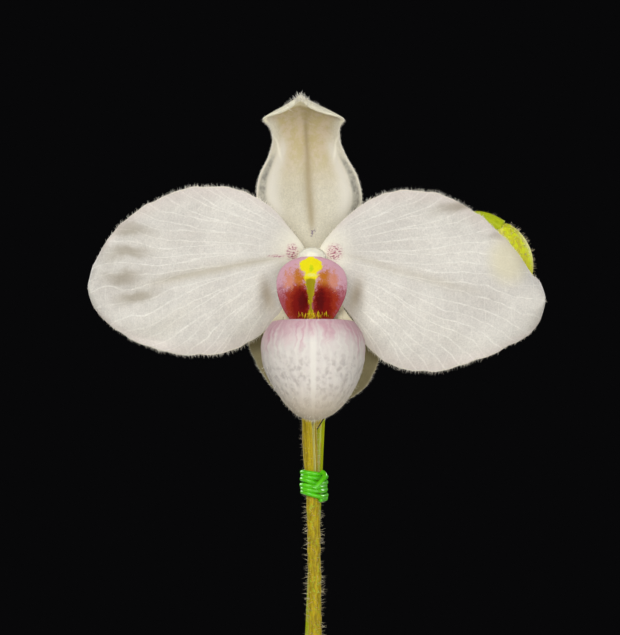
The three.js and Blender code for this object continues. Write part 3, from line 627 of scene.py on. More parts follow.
def stalk_hairs(surface, count, low, high, lengths, lean, seed):
    """Hairs all round a stalk between two shares of its length, leaning towards its tip."""
    draws = np.random.default_rng(seed)
    v = draws.uniform(low, high, count)
    turn = draws.uniform(-math.pi, math.pi, count)
    root = surface(v, turn)
    step = 2e-3
    forth = surface(np.minimum(v + step, 1), turn) - surface(np.maximum(v - step, 0), turn)
    aside = surface(v, turn + step) - surface(v, turn - step)
    normal = np.cross(aside, forth)
    normal /= np.linalg.norm(normal, axis=1, keepdims=True)
    forth /= np.linalg.norm(forth, axis=1, keepdims=True)
    centre = surface(v, turn + math.pi)
    normal *= np.sign(np.sum(normal * (root - centre), axis=1))[:, None]
    direction = normal + lean * forth + draws.normal(0, 0.28, (count, 3))
    return hair_places(root, direction, draws.uniform(*lengths, count), seed)


def with_painted_down_sheen(tree, colour, sheen_colour):
    """A colour with a paler one along the sides of the form: a painted sheen of down too short to draw."""
    sides = node(tree, "LayerWeight", {"Blend": 0.3}, "Facing")
    sides = node(tree, "MapRange", {0: sides, 1: 0.45, 2: 0.95, 4: 0.55}, interpolation_type="SMOOTHSTEP")
    return node(tree, "Mix", {0: sides, 6: colour, 7: linear(sheen_colour)}, 2, data_type="RGBA")


# Downy stem: olive gold flesh in fine streaks, flecked with green, turning greener towards the crown
# and lime along the branch, with a painted pale sheen of down along its sides.
stem_skin, tree, shader = finish("downy_stem", {"Roughness": 0.6, "Specular IOR Level": 0.25})
place = node(tree, "TexCoord", {}, "Object")
streaks = node(tree, "Mapping", {"Vector": place, "Scale": (1, 1, 0.16)})
streaks = node(tree, "TexNoise", {"Vector": streaks, "Scale": per(0.42), "Detail": 5.0, "Roughness": 0.7})
streaks = node(tree, "MapRange", {0: streaks, 1: 0.36, 2: 0.64}, interpolation_type="SMOOTHSTEP")
flecks = node(tree, "TexNoise", {"Vector": place, "Scale": per(0.5), "Detail": 4.0})
flecks = node(tree, "MapRange", {0: flecks, 1: 0.55, 2: 0.68}, interpolation_type="SMOOTHSTEP")
gold = node(tree, "Mix", {0: streaks, 6: linear("#8F7C08"), 7: linear("#C9AE16")}, 2, data_type="RGBA")
gold = node(tree, "Mix", {0: flecks, 6: gold, 7: linear("#B4C02C")}, 2, data_type="RGBA")
height = node(tree, "SeparateXYZ", {0: place}, "Z")
height = node(tree, "MapRange", {0: height, 1: 110 * MM, 2: 190 * MM, 3: 1.0, 4: 0.0})
gold = node(tree, "Mix", {0: height, 6: gold, 7: linear("#8A9A33")}, 2, data_type="RGBA")
beside = node(tree, "SeparateXYZ", {0: place}, "X")
beside = node(tree, "MapRange", {0: beside, 1: 8 * MM, 2: 26 * MM})
beside = node(tree, "Math", {0: beside, 1: 0.8}, operation="MULTIPLY")
gold = node(tree, "Mix", {0: beside, 6: gold, 7: linear("#B7CC18")}, 2, data_type="RGBA")
# A painted pale sheen of down along the stem's sides.
tree.links.new(with_painted_down_sheen(tree, gold, "#D8D092"), shader["Base Color"])
relief = node(tree, "Bump", {"Height": flecks, "Strength": 0.5, "Distance": 0.12 * MM})
tree.links.new(relief, shader["Normal"])

stem_surface = round_a_curve(stem_route, stem_radius, ACROSS)
branch_surface = round_a_curve(branch_route, branch_radius, BACK)
form = stalk(420, 36, stem_surface)
branch = stalk(160, 28, branch_surface)
branch_mesh = bpy.data.meshes.new("branch")
branch.to_mesh(branch_mesh)
branch.free()
form.from_mesh(branch_mesh)
bpy.data.meshes.remove(branch_mesh)
stem = settle("flower_stem", form, stem_skin)
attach(stem, "root")
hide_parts("peduncle")

# Stem hairs: the down that covers the stem, its ovary and the branch to the bud.
# Each hair is a soft pale bristle that grows from the skin, up to 1.6 mm long.
STEM_HAIRS = 2000
OVARY_HAIRS = 600
BRANCH_HAIRS = 500
BRISTLE = (0.035, (0.0, 0.12, 0.25))  # the radius of a hair's foot for a length of 1, and its bends


def hair_material(name, roughness, dark, pale):
    """Slightly shiny hair, each single one in its own mix of two colours."""
    material, tree, shader = finish(name, {"Roughness": roughness})
    tint = node(tree, "NewGeometry", {}, "Random Per Island")
    hair_colour = node(tree, "Mix", {0: tint, 6: linear(dark), 7: linear(pale)}, 2, data_type="RGBA")
    tree.links.new(hair_colour, shader["Base Color"])
    return material


# Plant hair: pale buff, so that the stem has a light fuzz along its outline.
down = hair_material("plant_hair", 0.5, "#CDBD98", "#F1E6CE")
bract_start = 1 - 50 / stem_length
places = stalk_hairs(stem_surface, STEM_HAIRS, 0.14, bract_start, (0.7, 1.6), 0.1, 21)
places += stalk_hairs(stem_surface, OVARY_HAIRS, bract_start, 0.985, (0.5, 1.1), 0.2, 22)
places += stalk_hairs(branch_surface, BRANCH_HAIRS, 0.05, 0.98, (0.4, 1.0), 0.2, 23)
form = strewn(bmesh.new(), hair_shapes(*BRISTLE), places)
hairs = settle("stem_down", form, down)
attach(hairs, "root")

# Stake: a thin smooth rod pushed into the mix beside the stem, its top cut at a slant.
# Steel wire drawn through a yellow-green plastic coat.
STAKE_RADIUS = 1.1
SLANT_ANGLE = 32
CUT_BELOW_TOP = 1.6
stake_foot = np.array([-6.6, 13, 46])
stake_top = np.array(face(1.95, -17.2, -35))
# Plastic coat of the stake: glossy lime, with fine lines where it was drawn, and a few brown scuffs.
rod_coat, tree, shader = finish(
    "lime_plastic_coat",
    {"Roughness": 0.3, "Coat Weight": 0.15, "Coat Roughness": 0.12, "Specular IOR Level": 0.3},
)
place = node(tree, "TexCoord", {}, "Object")
drawn = node(tree, "Mapping", {"Vector": place, "Scale": (1, 1, 0.03)})
drawn = node(tree, "TexNoise", {"Vector": drawn, "Scale": per(0.35), "Detail": 4.0})
lime = node(tree, "Mix", {0: drawn, 6: linear("#98A806"), 7: linear("#C9D312")}, 2, data_type="RGBA")
scuffs = node(tree, "Mapping", {"Vector": place, "Scale": (1, 1, 0.2)})
scuffs = node(tree, "TexNoise", {"Vector": scuffs, "Scale": per(0.4), "Detail": 2.0})
scuffs = node(tree, "MapRange", {0: scuffs, 1: 0.64, 2: 0.7}, interpolation_type="SMOOTHSTEP")
lime = node(tree, "Mix", {0: scuffs, 6: lime, 7: linear("#C08A14")}, 2, data_type="RGBA")
tree.links.new(lime, shader["Base Color"])
relief = node(tree, "Bump", {"Height": drawn, "Strength": 0.25, "Distance": 0.1 * MM})
tree.links.new(relief, shader["Normal"])
stake_route = curve([stake_foot, stake_foot * 0.5 + stake_top * 0.5, stake_top])
form = stalk(200, 32, round_a_curve(stake_route, lambda v, turn: STAKE_RADIUS + 0 * v, ACROSS))
slant = math.radians(SLANT_ANGLE)
slant = Vector((-math.cos(slant), 0, math.sin(slant)))
cut = Vector(stake_top) - Vector((0, 0, CUT_BELOW_TOP))
parts = form.verts[:] + form.edges[:] + form.faces[:]
bmesh.ops.bisect_plane(form, geom=parts, plane_co=cut, plane_no=slant, clear_outer=True)
bmesh.ops.holes_fill(form, edges=form.edges[:], sides=0)
stake = settle("stake_rod", form, rod_coat)
stake.data.set_sharp_from_angle(angle=math.radians(50))
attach(stake, "root")
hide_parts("stake")

# Bracts: leafy sheaths wrapped round a stalk, open in front and drawn out to a tip behind. One holds
# the stem below the flower, the other the foot of the bud's ovary. They are thin downy leaf.
BRACT_THICKNESS = 0.6
BRACT_HAIRS = 520
MARGIN_HAIRS = 260
# Downy bract: golden olive like the stem, ribbed along its length, grainy with down, paler at its margins,
# with a painted pale sheen of down along its sides.
bract_skin, tree, shader = finish("downy_bract", {"Roughness": 0.6, "Specular IOR Level": 0.25})
spot = node(tree, "Attribute", {}, "Vector", attribute_name="sheet_place")
u_share = node(tree, "SeparateXYZ", {0: spot}, "X")
edge = off_middle(tree, u_share)
edge = node(tree, "MapRange", {0: edge, 1: 0.47, 2: 0.492}, interpolation_type="SMOOTHSTEP")
veins = node(tree, "Mapping", {"Vector": spot, "Scale": (26, 3, 0)})
veins = node(tree, "TexNoise", {"Vector": veins, "Scale": 1.0, "Detail": 4.0, "Distortion": 0.6})
veins = node(tree, "MapRange", {0: veins, 1: 0.35, 2: 0.65}, interpolation_type="SMOOTHSTEP")
gold = node(tree, "Mix", {0: veins, 6: linear("#A38B04"), 7: linear("#C7AF10")}, 2, data_type="RGBA")
place = node(tree, "TexCoord", {}, "Object")
grit = node(tree, "TexNoise", {"Vector": place, "Scale": per(0.38), "Detail": 4.0, "Roughness": 0.7})
light = node(tree, "MapRange", {0: grit, 1: 0.35, 2: 0.65, 3: 0.82, 4: 1.15})
gold = node(tree, "VectorMath", {0: gold, "Scale": light}, operation="SCALE")
gold = node(tree, "Mix", {0: edge, 6: gold, 7: linear("#D3CC78")}, 2, data_type="RGBA")
# A painted pale sheen of down along the bract's sides.
tree.links.new(with_painted_down_sheen(tree, gold, "#D9C99A"), shader["Base Color"])
relief = node(tree, "Bump", {"Height": grit, "Strength": 0.6, "Distance": 0.2 * MM})
tree.links.new(relief, shader["Normal"])


def bract_surface(route, low, high, opening, widths, openings, flare=0.0):
    """The middle surface of a sheath between two shares of a stalk's length.
    Flare is how far its mouth stands out on the side of the stake."""

    def surface(v, u):
        share = low + (high - low) * v
        half = np.radians(along(openings, v))
        turn = math.radians(opening) + half + (2 * math.pi - 2 * half) * u
        axis = heading(route, share)
        east = ACROSS - axis * (axis @ ACROSS)[:, None]
        east /= np.linalg.norm(east, axis=1, keepdims=True)
        north = np.cross(axis, east)
        arm = east * np.cos(turn)[:, None] + north * np.sin(turn)[:, None]
        lip = flare * smooth(v, 0.36, 0.5) * (1 - smooth(v, 0.8, 1))
        lip = lip * np.exp(-(((np.mod(turn + 1, 2 * math.pi) - 1 - 1.0) / 0.62) ** 2))
        return follow(route, share) + arm * (along(widths, v) + lip)[:, None]

    return surface


BRACTS = {
    "floral_bract": bract_surface(
        stem_route, 1 - 51 / stem_length, 1 - 26 / stem_length, -57,
        [[0, 1.0], [0.07, 1.22], [0.3, 1.3], [0.5, 1.35], [1, 2.9]],
        [[0, 4], [0.38, 5], [0.52, 26], [0.66, 80], [0.78, 128], [0.92, 156], [1, 168]],
        flare=3.0,
    ),
    "bud_bract": bract_surface(
        branch_route, 0.33, 0.56, 60, [[0, 1.75], [0.5, 2], [1, 2.9]],
        [[0, 14], [0.4, 24], [0.8, 120], [1, 166]],
    ),
}


def sheet_hairs(surface, v, u, lengths, outward, seed, face_on=1.0, spread=0.25):
    """Hairs on a sheet at given places: outward 1 stands them off its sides, 0 off its face."""
    draws = np.random.default_rng(seed)
    root = surface(v, u)
    normal = facing(surface, v, u) * face_on
    step = 2e-3
    side = surface(v, np.clip(u + step, 0, 1)) - surface(v, np.clip(u - step, 0, 1))
    side *= np.where(u < 0.5, -1, 1)[:, None]
    side /= np.maximum(np.linalg.norm(side, axis=1, keepdims=True), 1e-9)
    direction = side * outward + normal * (1 - outward) + draws.normal(0, spread, (len(v), 3))
    return hair_places(root, direction, draws.uniform(*lengths, len(v)), seed)


for name, surface in BRACTS.items():
    form = sheet(60, 80, surface, lambda v, u: BRACT_THICKNESS + 0 * v)
    bract = settle(f"{name}_sheath", form, bract_skin)
    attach(bract, "root")
    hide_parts(name)
    draws = np.random.default_rng(31)
    v, u = draws.uniform(0.02, 0.99, (2, BRACT_HAIRS))
    places = sheet_hairs(surface, v, u, (0.5, 1.4), 0.0, 32, face_on=-1.0)
    margin = (draws.uniform(0, 1, MARGIN_HAIRS) > 0.5).astype(float)
    places += sheet_hairs(surface, draws.uniform(0.3, 1, MARGIN_HAIRS), margin, (0.5, 1.0), 0.7, 33)
    form = strewn(bmesh.new(), hair_shapes(*BRISTLE), places)
    hairs = settle(f"{name}_down", form, down)
    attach(hairs, "root")

# Tie: soft iron wire in a bright green plastic coat, wound six times round stem and stake by hand.
# Its free end is bent forward and down across the turns.
TIE_WIRE_RADIUS = 0.5
TIE_TURNS = 6
TIE_PITCH = 0.92
TIE_STEPS = 12
TIE_SLACK = 0.3
tie_bottom = FLOWER_HEIGHT - 51.9
stem_at_tie = np.array([0.3, 0])
stake_share = (tie_bottom + 3 - stake_foot[2]) / (stake_top[2] - stake_foot[2])
stake_at_tie = (stake_foot + (stake_top - stake_foot) * stake_share)[:2]
# Plastic coat of the tie: glossy green, hardly clouded, with small dents that break its highlights.
plastic, tree, shader = finish(
    "green_plastic_coat", {"Roughness": 0.28, "Coat Weight": 0.15, "Coat Roughness": 0.08}
)
place = node(tree, "TexCoord", {}, "Object")
clouds = node(tree, "TexNoise", {"Vector": place, "Scale": per(1.5), "Detail": 3.0})
green = node(tree, "Mix", {0: clouds, 6: linear("#46C206"), 7: linear("#72E81A")}, 2, data_type="RGBA")
tree.links.new(green, shader["Base Color"])
relief = node(tree, "Bump", {"Height": clouds, "Strength": 0.15, "Distance": 0.1 * MM})
tree.links.new(relief, shader["Normal"])
tie_path = []
for i in range(TIE_TURNS * TIE_STEPS + 1):
    turns = i / TIE_STEPS - 0.1
    angle = 2 * math.pi * turns
    direction = np.array([math.cos(angle), math.sin(angle)])
    on_stem = stem_at_tie @ direction + STEM_RADIUS > stake_at_tie @ direction + STAKE_RADIUS
    centre, radius = (stem_at_tie, STEM_RADIUS) if on_stem else (stake_at_tie, STAKE_RADIUS)
    slant = -0.55 * math.cos(angle) * (1 + 0.35 * math.sin(2.1 * turns))
    reach = radius + TIE_WIRE_RADIUS + TIE_SLACK + 0.12 * math.sin(1.7 * turns + angle)
    x, y = centre + direction * reach
    tie_path.append((x, y, tie_bottom + TIE_PITCH * turns + slant))
x, y, z = tie_path[-1]
tie_path += [
    (x + 0.4, y - 0.5, z + 0.5), (x + 0.9, y - 1.4, z - 0.1), (x + 0.3, y - 2.6, z - 1.1),
    (x - 0.7, y - 3.3, z - 2.2), (x - 1.5, y - 3.5, z - 3.0),
]
tie_route = curve(tie_path, fine=8)


def wire_radius(v, turn):
    return TIE_WIRE_RADIUS * np.sqrt(np.clip(np.minimum(v, 1 - v) / 0.002, 0, 1))


tie = settle("tie_winding", stalk(900, 16, round_a_curve(tie_route, wire_radius, UP)), plastic)
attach(tie, "root")
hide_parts("tie_wire")

# Column: the cream knob where stamens and style have grown together, with an anther on each side
# and the stigma below. Soft waxy flesh, fused in one.
COLUMN_X = 0.2
COLUMN_Z = -0.95
KNOB_SHARES = [0, 0.05, 0.6, 0.78, 0.92, 1]
KNOB_FORWARD = [-2.6, -2.6, 3.0, 4.6, 5.6, 5.9]
KNOB_RADII = [0, 2.6, 2.6, 2.35, 1.4, 0]
# Waxy cream flesh: nearly white, with a soft glow where light gets into it, and a faint grain.
cream, tree, shader = finish(
    "cream_flesh",
    {
        "Roughness": 0.5, "Specular IOR Level": 0.35, "Subsurface Weight": 0.2,
        "Subsurface Scale": 1.0 * MM, "Subsurface Radius": (1, 0.95, 0.8),
    },
)
place = node(tree, "TexCoord", {}, "Object")
grain = node(tree, "TexNoise", {"Vector": place, "Scale": per(0.5), "Detail": 3.0})
flesh = node(tree, "Mix", {0: grain, 6: linear("#FFF7D8"), 7: linear("#FFFEF2")}, 2, data_type="RGBA")
tree.links.new(flesh, shader["Base Color"])
relief = node(tree, "Bump", {"Height": grain, "Strength": 0.3, "Distance": 0.1 * MM})
tree.links.new(relief, shader["Normal"])


def knob_place(v, turn):
    forward = np.interp(v, KNOB_SHARES, KNOB_FORWARD)
    radius = np.interp(v, KNOB_SHARES, KNOB_RADII)
    across = 1.2 * radius * np.sin(turn)
    return np.stack(face(COLUMN_X + across, forward, COLUMN_Z + radius * np.cos(turn)), 1)


form = stalk(40, 40, knob_place)
for side in (-1, 1):
    spot = Matrix.Translation(face(COLUMN_X + side * 2.8, 3.2, COLUMN_Z - 0.9))
    bmesh.ops.create_uvsphere(form, u_segments=24, v_segments=16, radius=1.15, matrix=spot)
spot = Matrix.Translation(face(COLUMN_X, 4.2, COLUMN_Z - 2.9)) @ Matrix.Diagonal((1.7, 1, 1.5, 1))
bmesh.ops.create_uvsphere(form, u_segments=28, v_segments=18, radius=1, matrix=spot)
column = settle("column_knob", form, cream)
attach(column, "root")
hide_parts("column")

# Synsepal: the two lower sepals grown into one, cupped round the back of the lip.
# Thin flesh, seen in shade as olive grey, downy outside.
SYNSEPAL_VEINS = 14
FLESH_THICKNESS = 0.8


def between_edges(upper, lower, depth, scallop=0.0):
    """The middle surface of a petal between two edges, each a list of [x, z] from base to tip.
    Scallop is how far its margins wander in and out."""
    edges = [curve([face(x, 0, z) for x, z in edge]) for edge in (upper, lower)]

    def surface(v, u):
        top, bottom = (follow(edge, v) for edge in edges)
        point = top + (bottom - top) * u[:, None]
        width = np.maximum(np.linalg.norm(bottom - top, axis=1), 1)
        wander = np.sin(41 * v + 3 * u) + 0.7 * np.sin(67 * v + 1.3 + u) + 0.5 * np.sin(109 * v)
        outward = np.where(u > 0.5, 1, -1) * smooth(off_midrib(u), 0.75, 1)
        push = scallop * wander * outward * smooth(v, 0.15, 0.3) / width
        point += (bottom - top) * push[:, None]
        point[:, 1] = -FLOWER_FORWARD - depth(v, u, point[:, 0], point[:, 2] - FLOWER_HEIGHT)
        return point

    return surface


def kept_on(form, name, values):
    """Keeps a number for each vertex of a form as an attribute for its material.
    The values are worked out from v and u, and from x and z in the flower's frame."""
    layer = form.verts.layers.float.new(name)
    places = form.verts.layers.float_vector["sheet_place"]
    u, v, front = np.array([vert[places] for vert in form.verts]).T
    x, y, z = np.array([vert.co for vert in form.verts]).T
    for vert, value in zip(form.verts, values(v, u, x, z - FLOWER_HEIGHT)):
        vert[layer] = value


def petal_flesh(name, base, pale, margin, vein, vein_strength, rim="#EDE6D6"):
    """Thin petal flesh: pale veins that fork as they spread, cross veins between them, a clouded ground
    and a tinted margin. It reads the attributes fan, the place across the veins counted in veins,
    and reach, the length along them in millimetres. Its colour is left open for more paint."""
    material, tree, shader = finish(
        name,
        {
            "Roughness": 0.6, "Specular IOR Level": 0.25, "Subsurface Weight": 0.12,
            "Subsurface Scale": 0.8 * MM, "Subsurface Radius": (1, 0.95, 0.9),
        },
    )
    spot = node(tree, "Attribute", {}, "Vector", attribute_name="sheet_place")
    u_share = node(tree, "SeparateXYZ", {0: spot}, "X")
    place = node(tree, "TexCoord", {}, "Object")
    fan = node(tree, "Attribute", {}, "Fac", attribute_name="fan")
    reach = node(tree, "Attribute", {}, "Fac", attribute_name="reach")
    clouds = node(tree, "TexNoise", {"Vector": place, "Scale": per(11), "Detail": 7.0, "Roughness": 0.62})
    clouds = node(tree, "MapRange", {0: clouds, 1: 0.3, 2: 0.7}, interpolation_type="SMOOTHSTEP")
    ground = node(tree, "Mix", {0: clouds, 6: linear(base), 7: linear(pale)}, 2, data_type="RGBA")

    wobble = node(tree, "TexNoise", {"Vector": place, "Scale": per(13), "Detail": 3.0, "Roughness": 0.4})
    wobble = node(tree, "MapRange", {0: wobble, 3: -0.7, 4: 0.7})
    line = node(tree, "Math", {0: fan, 1: wobble}, operation="ADD")
    fork = node(tree, "TexNoise", {"W": line, "Scale": 0.8}, noise_dimensions="1D")
    fork = node(tree, "MapRange", {0: fork, 3: -12.0, 4: 12.0})
    fork = node(tree, "Math", {0: reach, 1: fork}, operation="ADD")
    width = node(tree, "Math", {0: reach, 1: 4.0}, operation="MAXIMUM")
    width = node(tree, "Math", {0: 2.0, 1: width}, operation="DIVIDE")
    net = None
    for doubling, low, high in ((1, 0, 1), (1, 19, 33)):
        # A forked vein leaves its parent and ends midway to the next
        drift = node(tree, "MapRange", {0: fork, 1: low, 2: high, 4: 0.5 if low else 0.0})
        veins = node(tree, "Math", {0: line, 1: float(doubling), 2: drift}, operation="MULTIPLY_ADD")
        veins = node(tree, "Math", {0: veins}, operation="FRACT")
        veins = off_middle(tree, veins)
        start = node(tree, "Math", {0: width, 1: -float(doubling), 2: 0.5}, operation="MULTIPLY_ADD")
        veins = node(tree, "MapRange", {0: veins, 1: start, 2: 0.5}, interpolation_type="SMOOTHSTEP")
        net = veins if net is None else node(tree, "Math", {0: net, 1: veins}, operation="MAXIMUM")
    strip = node(tree, "Math", {0: line}, operation="FLOOR")
    stagger = node(tree, "TexWhiteNoise", {"W": strip}, "Value", noise_dimensions="1D")
    lean = node(tree, "Math", {0: line, 1: 0.45, 2: stagger}, operation="MULTIPLY_ADD")
    cross = node(tree, "Math", {0: reach, 1: 1 / 3.1, 2: lean}, operation="MULTIPLY_ADD")
    cross = node(tree, "Math", {0: cross}, operation="FRACT")
    cross = off_middle(tree, cross)
    cross = node(tree, "MapRange", {0: cross, 1: 0.45, 2: 0.5, 4: 0.5}, interpolation_type="SMOOTHSTEP")
    net = node(tree, "Math", {0: net, 1: cross}, operation="MAXIMUM")
    fade = node(tree, "TexNoise", {"Vector": place, "Scale": per(3), "Detail": 4.0, "Roughness": 0.7})
    fade = node(tree, "MapRange", {0: fade, 1: 0.36, 2: 0.64, 3: 0.25})
    onset = node(tree, "MapRange", {0: reach, 1: 6.0, 2: 22.0, 3: 0.15}, interpolation_type="SMOOTHSTEP")
    fade = node(tree, "Math", {0: fade, 1: onset}, operation="MULTIPLY")
    net = node(tree, "Math", {0: net, 1: fade}, operation="MULTIPLY")
    shown = node(tree, "Math", {0: net, 1: vein_strength}, operation="MULTIPLY")
    ground = node(tree, "Mix", {0: shown, 6: ground, 7: linear(vein)}, 2, data_type="RGBA")

    fibre = node(tree, "CombineXYZ", {0: line, 1: reach})
    fibre = node(tree, "Mapping", {"Vector": fibre, "Scale": (4, 0.7, 1)})
    fibre = node(tree, "TexNoise", {"Vector": fibre, "Scale": 1.0, "Detail": 5.0, "Roughness": 0.7})
    fibre = node(tree, "MapRange", {0: fibre, 1: 0.3, 2: 0.7, 3: 0.93, 4: 1.05})
    ground = node(tree, "VectorMath", {0: ground, "Scale": fibre}, operation="SCALE")
    nap = node(tree, "TexNoise", {"Vector": place, "Scale": per(0.32), "Detail": 2.0, "Roughness": 0.6})
    nap = node(tree, "MapRange", {0: nap, 1: 0.3, 2: 0.7, 3: 0.9, 4: 1.08})
    ground = node(tree, "VectorMath", {0: ground, "Scale": nap}, operation="SCALE")
    edge = off_middle(tree, u_share)
    tinge = node(tree, "MapRange", {0: edge, 1: 0.38, 2: 0.5, 4: 0.4}, interpolation_type="SMOOTHSTEP")
    ground = node(tree, "Mix", {0: tinge, 6: ground, 7: linear(margin)}, 2, data_type="RGBA")
    lit = node(tree, "MapRange", {0: edge, 1: 0.49, 2: 0.497, 4: 0.7}, interpolation_type="SMOOTHSTEP")
    ground = node(tree, "Mix", {0: lit, 6: ground, 7: linear(rim)}, 2, data_type="RGBA")
    cells = node(tree, "TexNoise", {"Vector": place, "Scale": per(0.4), "Detail": 3.0})
    relief = node(tree, "Bump", {"Height": cells, "Strength": 0.35, "Distance": 0.15 * MM})
    relief = node(tree, "Bump", {"Height": shown, "Normal": relief, "Strength": 0.25, "Distance": 0.2 * MM})
    tree.links.new(relief, shader["Normal"])
    return material, tree, shader, ground


# Synsepal flesh: matt olive grey, the shade it lies in painted into its colour, its veins hardly paler than
# the ground between them.
olive, tree, shader, ground = petal_flesh(
    "synsepal_flesh", "#857B58", "#918867", "#8F8664", "#A39B7E", 0.12, rim="#A89F80"
)
tree.links.new(ground, shader["Base Color"])
synsepal_surface = between_edges(
    [
        [-1.6, -2.2], [-8, -6.5], [-12.4, -12.5], [-13.3, -18], [-11.6, -22.4], [-8.2, -27.6],
        [-0.8, -32.6],
    ],
    [[2, -2.2], [9, -6.5], [13.6, -12.5], [14.7, -19], [13.6, -24], [10.4, -28.6], [1.8, -32.8]],
    lambda v, u, x, z: -2.1 - 0.9 * np.sin(math.pi * v) + 1.1 * (2 * u - 1) ** 2 + 1.2 * v * v,
    scallop=0.06,
)
form = sheet(90, 80, synsepal_surface, thinned(FLESH_THICKNESS, 0.4, 4))
kept_on(form, "fan", lambda v, u, x, z: SYNSEPAL_VEINS * u)
kept_on(form, "reach", lambda v, u, x, z: 30 * v)
synsepal = settle("synsepal_blade", form, olive)
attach(synsepal, "root")
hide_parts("synsepal")

# Dorsal sepal: it stands behind the petals, then hoods forward over the flower. Its margins cup in
# and meet the folded tip in two beaded corners. Cream flesh, with painted olive shade inside the hood and
# painted grey shade along its glassy sides.
SEPAL_VEINS = 13
sepal_midrib = curve([
    face(0.4, -1.6, 0.6), face(0.1, -2.8, 7), face(-0.45, -3.4, 14), face(-0.75, -3, 21),
    face(-1.2, -0.9, 27.4), face(-1.7, 3.4, 31), face(-2.1, 7.2, 32), face(-2.3, 10, 31.7),
])
# Shares of the midrib's length, with half the width there, and how far the margins cup in
SEPAL_WIDTHS = [
    [0, 2.2], [0.14, 7.8], [0.3, 11.1], [0.41, 10.3], [0.52, 8.1], [0.62, 7.0], [0.72, 7.3],
    [0.79, 8.4], [0.89, 4.7], [0.96, 2], [1, 0.6],
]
SEPAL_CUPS = [
    [0, 0.3], [0.3, 1.2], [0.5, 2.2], [0.66, 2.5], [0.79, 2.6], [0.9, 2.5], [0.96, 1.7], [1, 0.2],
]


def sepal_surface(v, u):
    t = 2 * u - 1
    point = follow(sepal_midrib, v)
    tangent = heading(sepal_midrib, v)
    inward = np.stack([0 * v, -tangent[:, 2], tangent[:, 1]], 1)
    inward /= np.linalg.norm(inward, axis=1, keepdims=True)
    bulge = smooth(v, 0.1, 0.3) * (1 - smooth(v, 0.5, 0.66))
    recurve = 1.2 * smooth(np.abs(t), 0.7, 1) * bulge
    ridge = 0.5 * np.exp(-((t / 0.16) ** 2)) * smooth(v, 0.1, 0.4)
    point[:, 0] += along(SEPAL_WIDTHS, v) * t
    return point + inward * (along(SEPAL_CUPS, v) * t * t - recurve - ridge)[:, None]


SEPAL_PAINTS = {
    "fan": lambda v, u, x, z: SEPAL_VEINS * u,
    "reach": lambda v, u, x, z: 40 * v,
    "midrib": lambda v, u, x, z: 0.75
    * np.exp(-(((2 * u - 1) / 0.1) ** 2))
    * smooth(v, 0.05, 0.2)
    * (1 - smooth(v, 0.62, 0.8)),
    # Painted shade inside the hood, where the sepal folds forward over the flower.
    "hood_shade": lambda v, u, x, z: 0.95 * smooth(v, 0.28, 0.62) * (1 - smooth(off_midrib(u), 0.62, 0.95)),
    # Painted grey shade in the glassy strip along each side, standing for the dark seen through the thin
    # flesh.
    "glassy_shade": lambda v, u, x, z: np.exp(-(((off_midrib(u) - 0.89) / 0.075) ** 4))
    * smooth(v, 0.1, 0.2)
    * (1 - smooth(v, 0.46, 0.57)),
    # Painted highlight on each flank, between the midrib and the glassy strip.
    "flank_highlight": lambda v, u, x, z: 0.8
    * np.exp(-(((off_midrib(u) - 0.7) / 0.14) ** 2))
    * smooth(v, 0.12, 0.25)
    * (1 - smooth(v, 0.55, 0.68)),
    # Painted highlight along the line where each margin folds inwards below the waist.
    "fold": lambda v, u, x, z: 0.7
    * np.exp(-(((off_midrib(u) - 0.93 + 2.2 * (0.62 - v)) / 0.03) ** 2))
    * smooth(v, 0.47, 0.54)
    * (1 - smooth(v, 0.62, 0.66)),
    "band": lambda v, u, x, z: np.maximum(
        smooth(v, 0.74, 0.79) * (1 - smooth((1 - off_midrib(u)) * along(SEPAL_WIDTHS, v), 0.45, 0.7)),
        smooth(v, 0.6, 0.7) * smooth(z + 0.28 * np.abs(x + 2.2), 30.9, 31.4),
    ),
    "spots": lambda v, u, x, z: 1 - smooth(np.hypot((x - 0.4) / 0.9, (z - 4.8) / 1.6), 0.4, 1),
}
# Sepal flesh: matt cream with faint veins, painted shade clouded brown in the hood, a dark midrib, painted
# grey shade along the glassy strip at each side, painted highlights on its flanks and along its inward
# folds, and a pale rim to the folded tip.
sepal_flesh, tree, shader, ground = petal_flesh(
    "sepal_flesh", "#CBC4AE", "#D9D3C0", "#E6E0CC", "#E6E2D2", 0.1
)
paint = {}
for name in SEPAL_PAINTS:
    paint[name] = node(tree, "Attribute", {}, "Fac", attribute_name=name)
place = node(tree, "TexCoord", {}, "Object")
brown = node(tree, "TexNoise", {"Vector": place, "Scale": per(1.6), "Detail": 6.0, "Roughness": 0.65})
brown = node(tree, "MapRange", {0: brown, 1: 0.38, 2: 0.62}, interpolation_type="SMOOTHSTEP")
brown = node(tree, "Mix", {0: brown, 6: linear("#C8B888"), 7: linear("#D3C2A6")}, 2, data_type="RGBA")
# The inside of the hood gets painted shade, clouded brown.
ground = node(tree, "Mix", {0: paint["hood_shade"], 6: ground, 7: brown}, 2, data_type="RGBA")
ground = node(tree, "Mix", {0: paint["midrib"], 6: ground, 7: linear("#A3926E")}, 2, data_type="RGBA")
# Painted highlight on the flanks.
ground = node(tree, "Mix", {0: paint["flank_highlight"], 6: ground, 7: linear("#E2DDD0")}, 2, data_type="RGBA")
# Painted grey shade along the glassy strips, clouded.
clear = node(tree, "TexNoise", {"Vector": place, "Scale": per(1.3), "Detail": 5.0, "Roughness": 0.7})
clear = node(tree, "MapRange", {0: clear, 1: 0.35, 2: 0.65, 3: 0.35, 4: 1.0})
clear = node(tree, "Math", {0: clear, 1: paint["glassy_shade"]}, operation="MULTIPLY")
ground = node(tree, "Mix", {0: clear, 6: ground, 7: linear("#7F7D74")}, 2, data_type="RGBA")
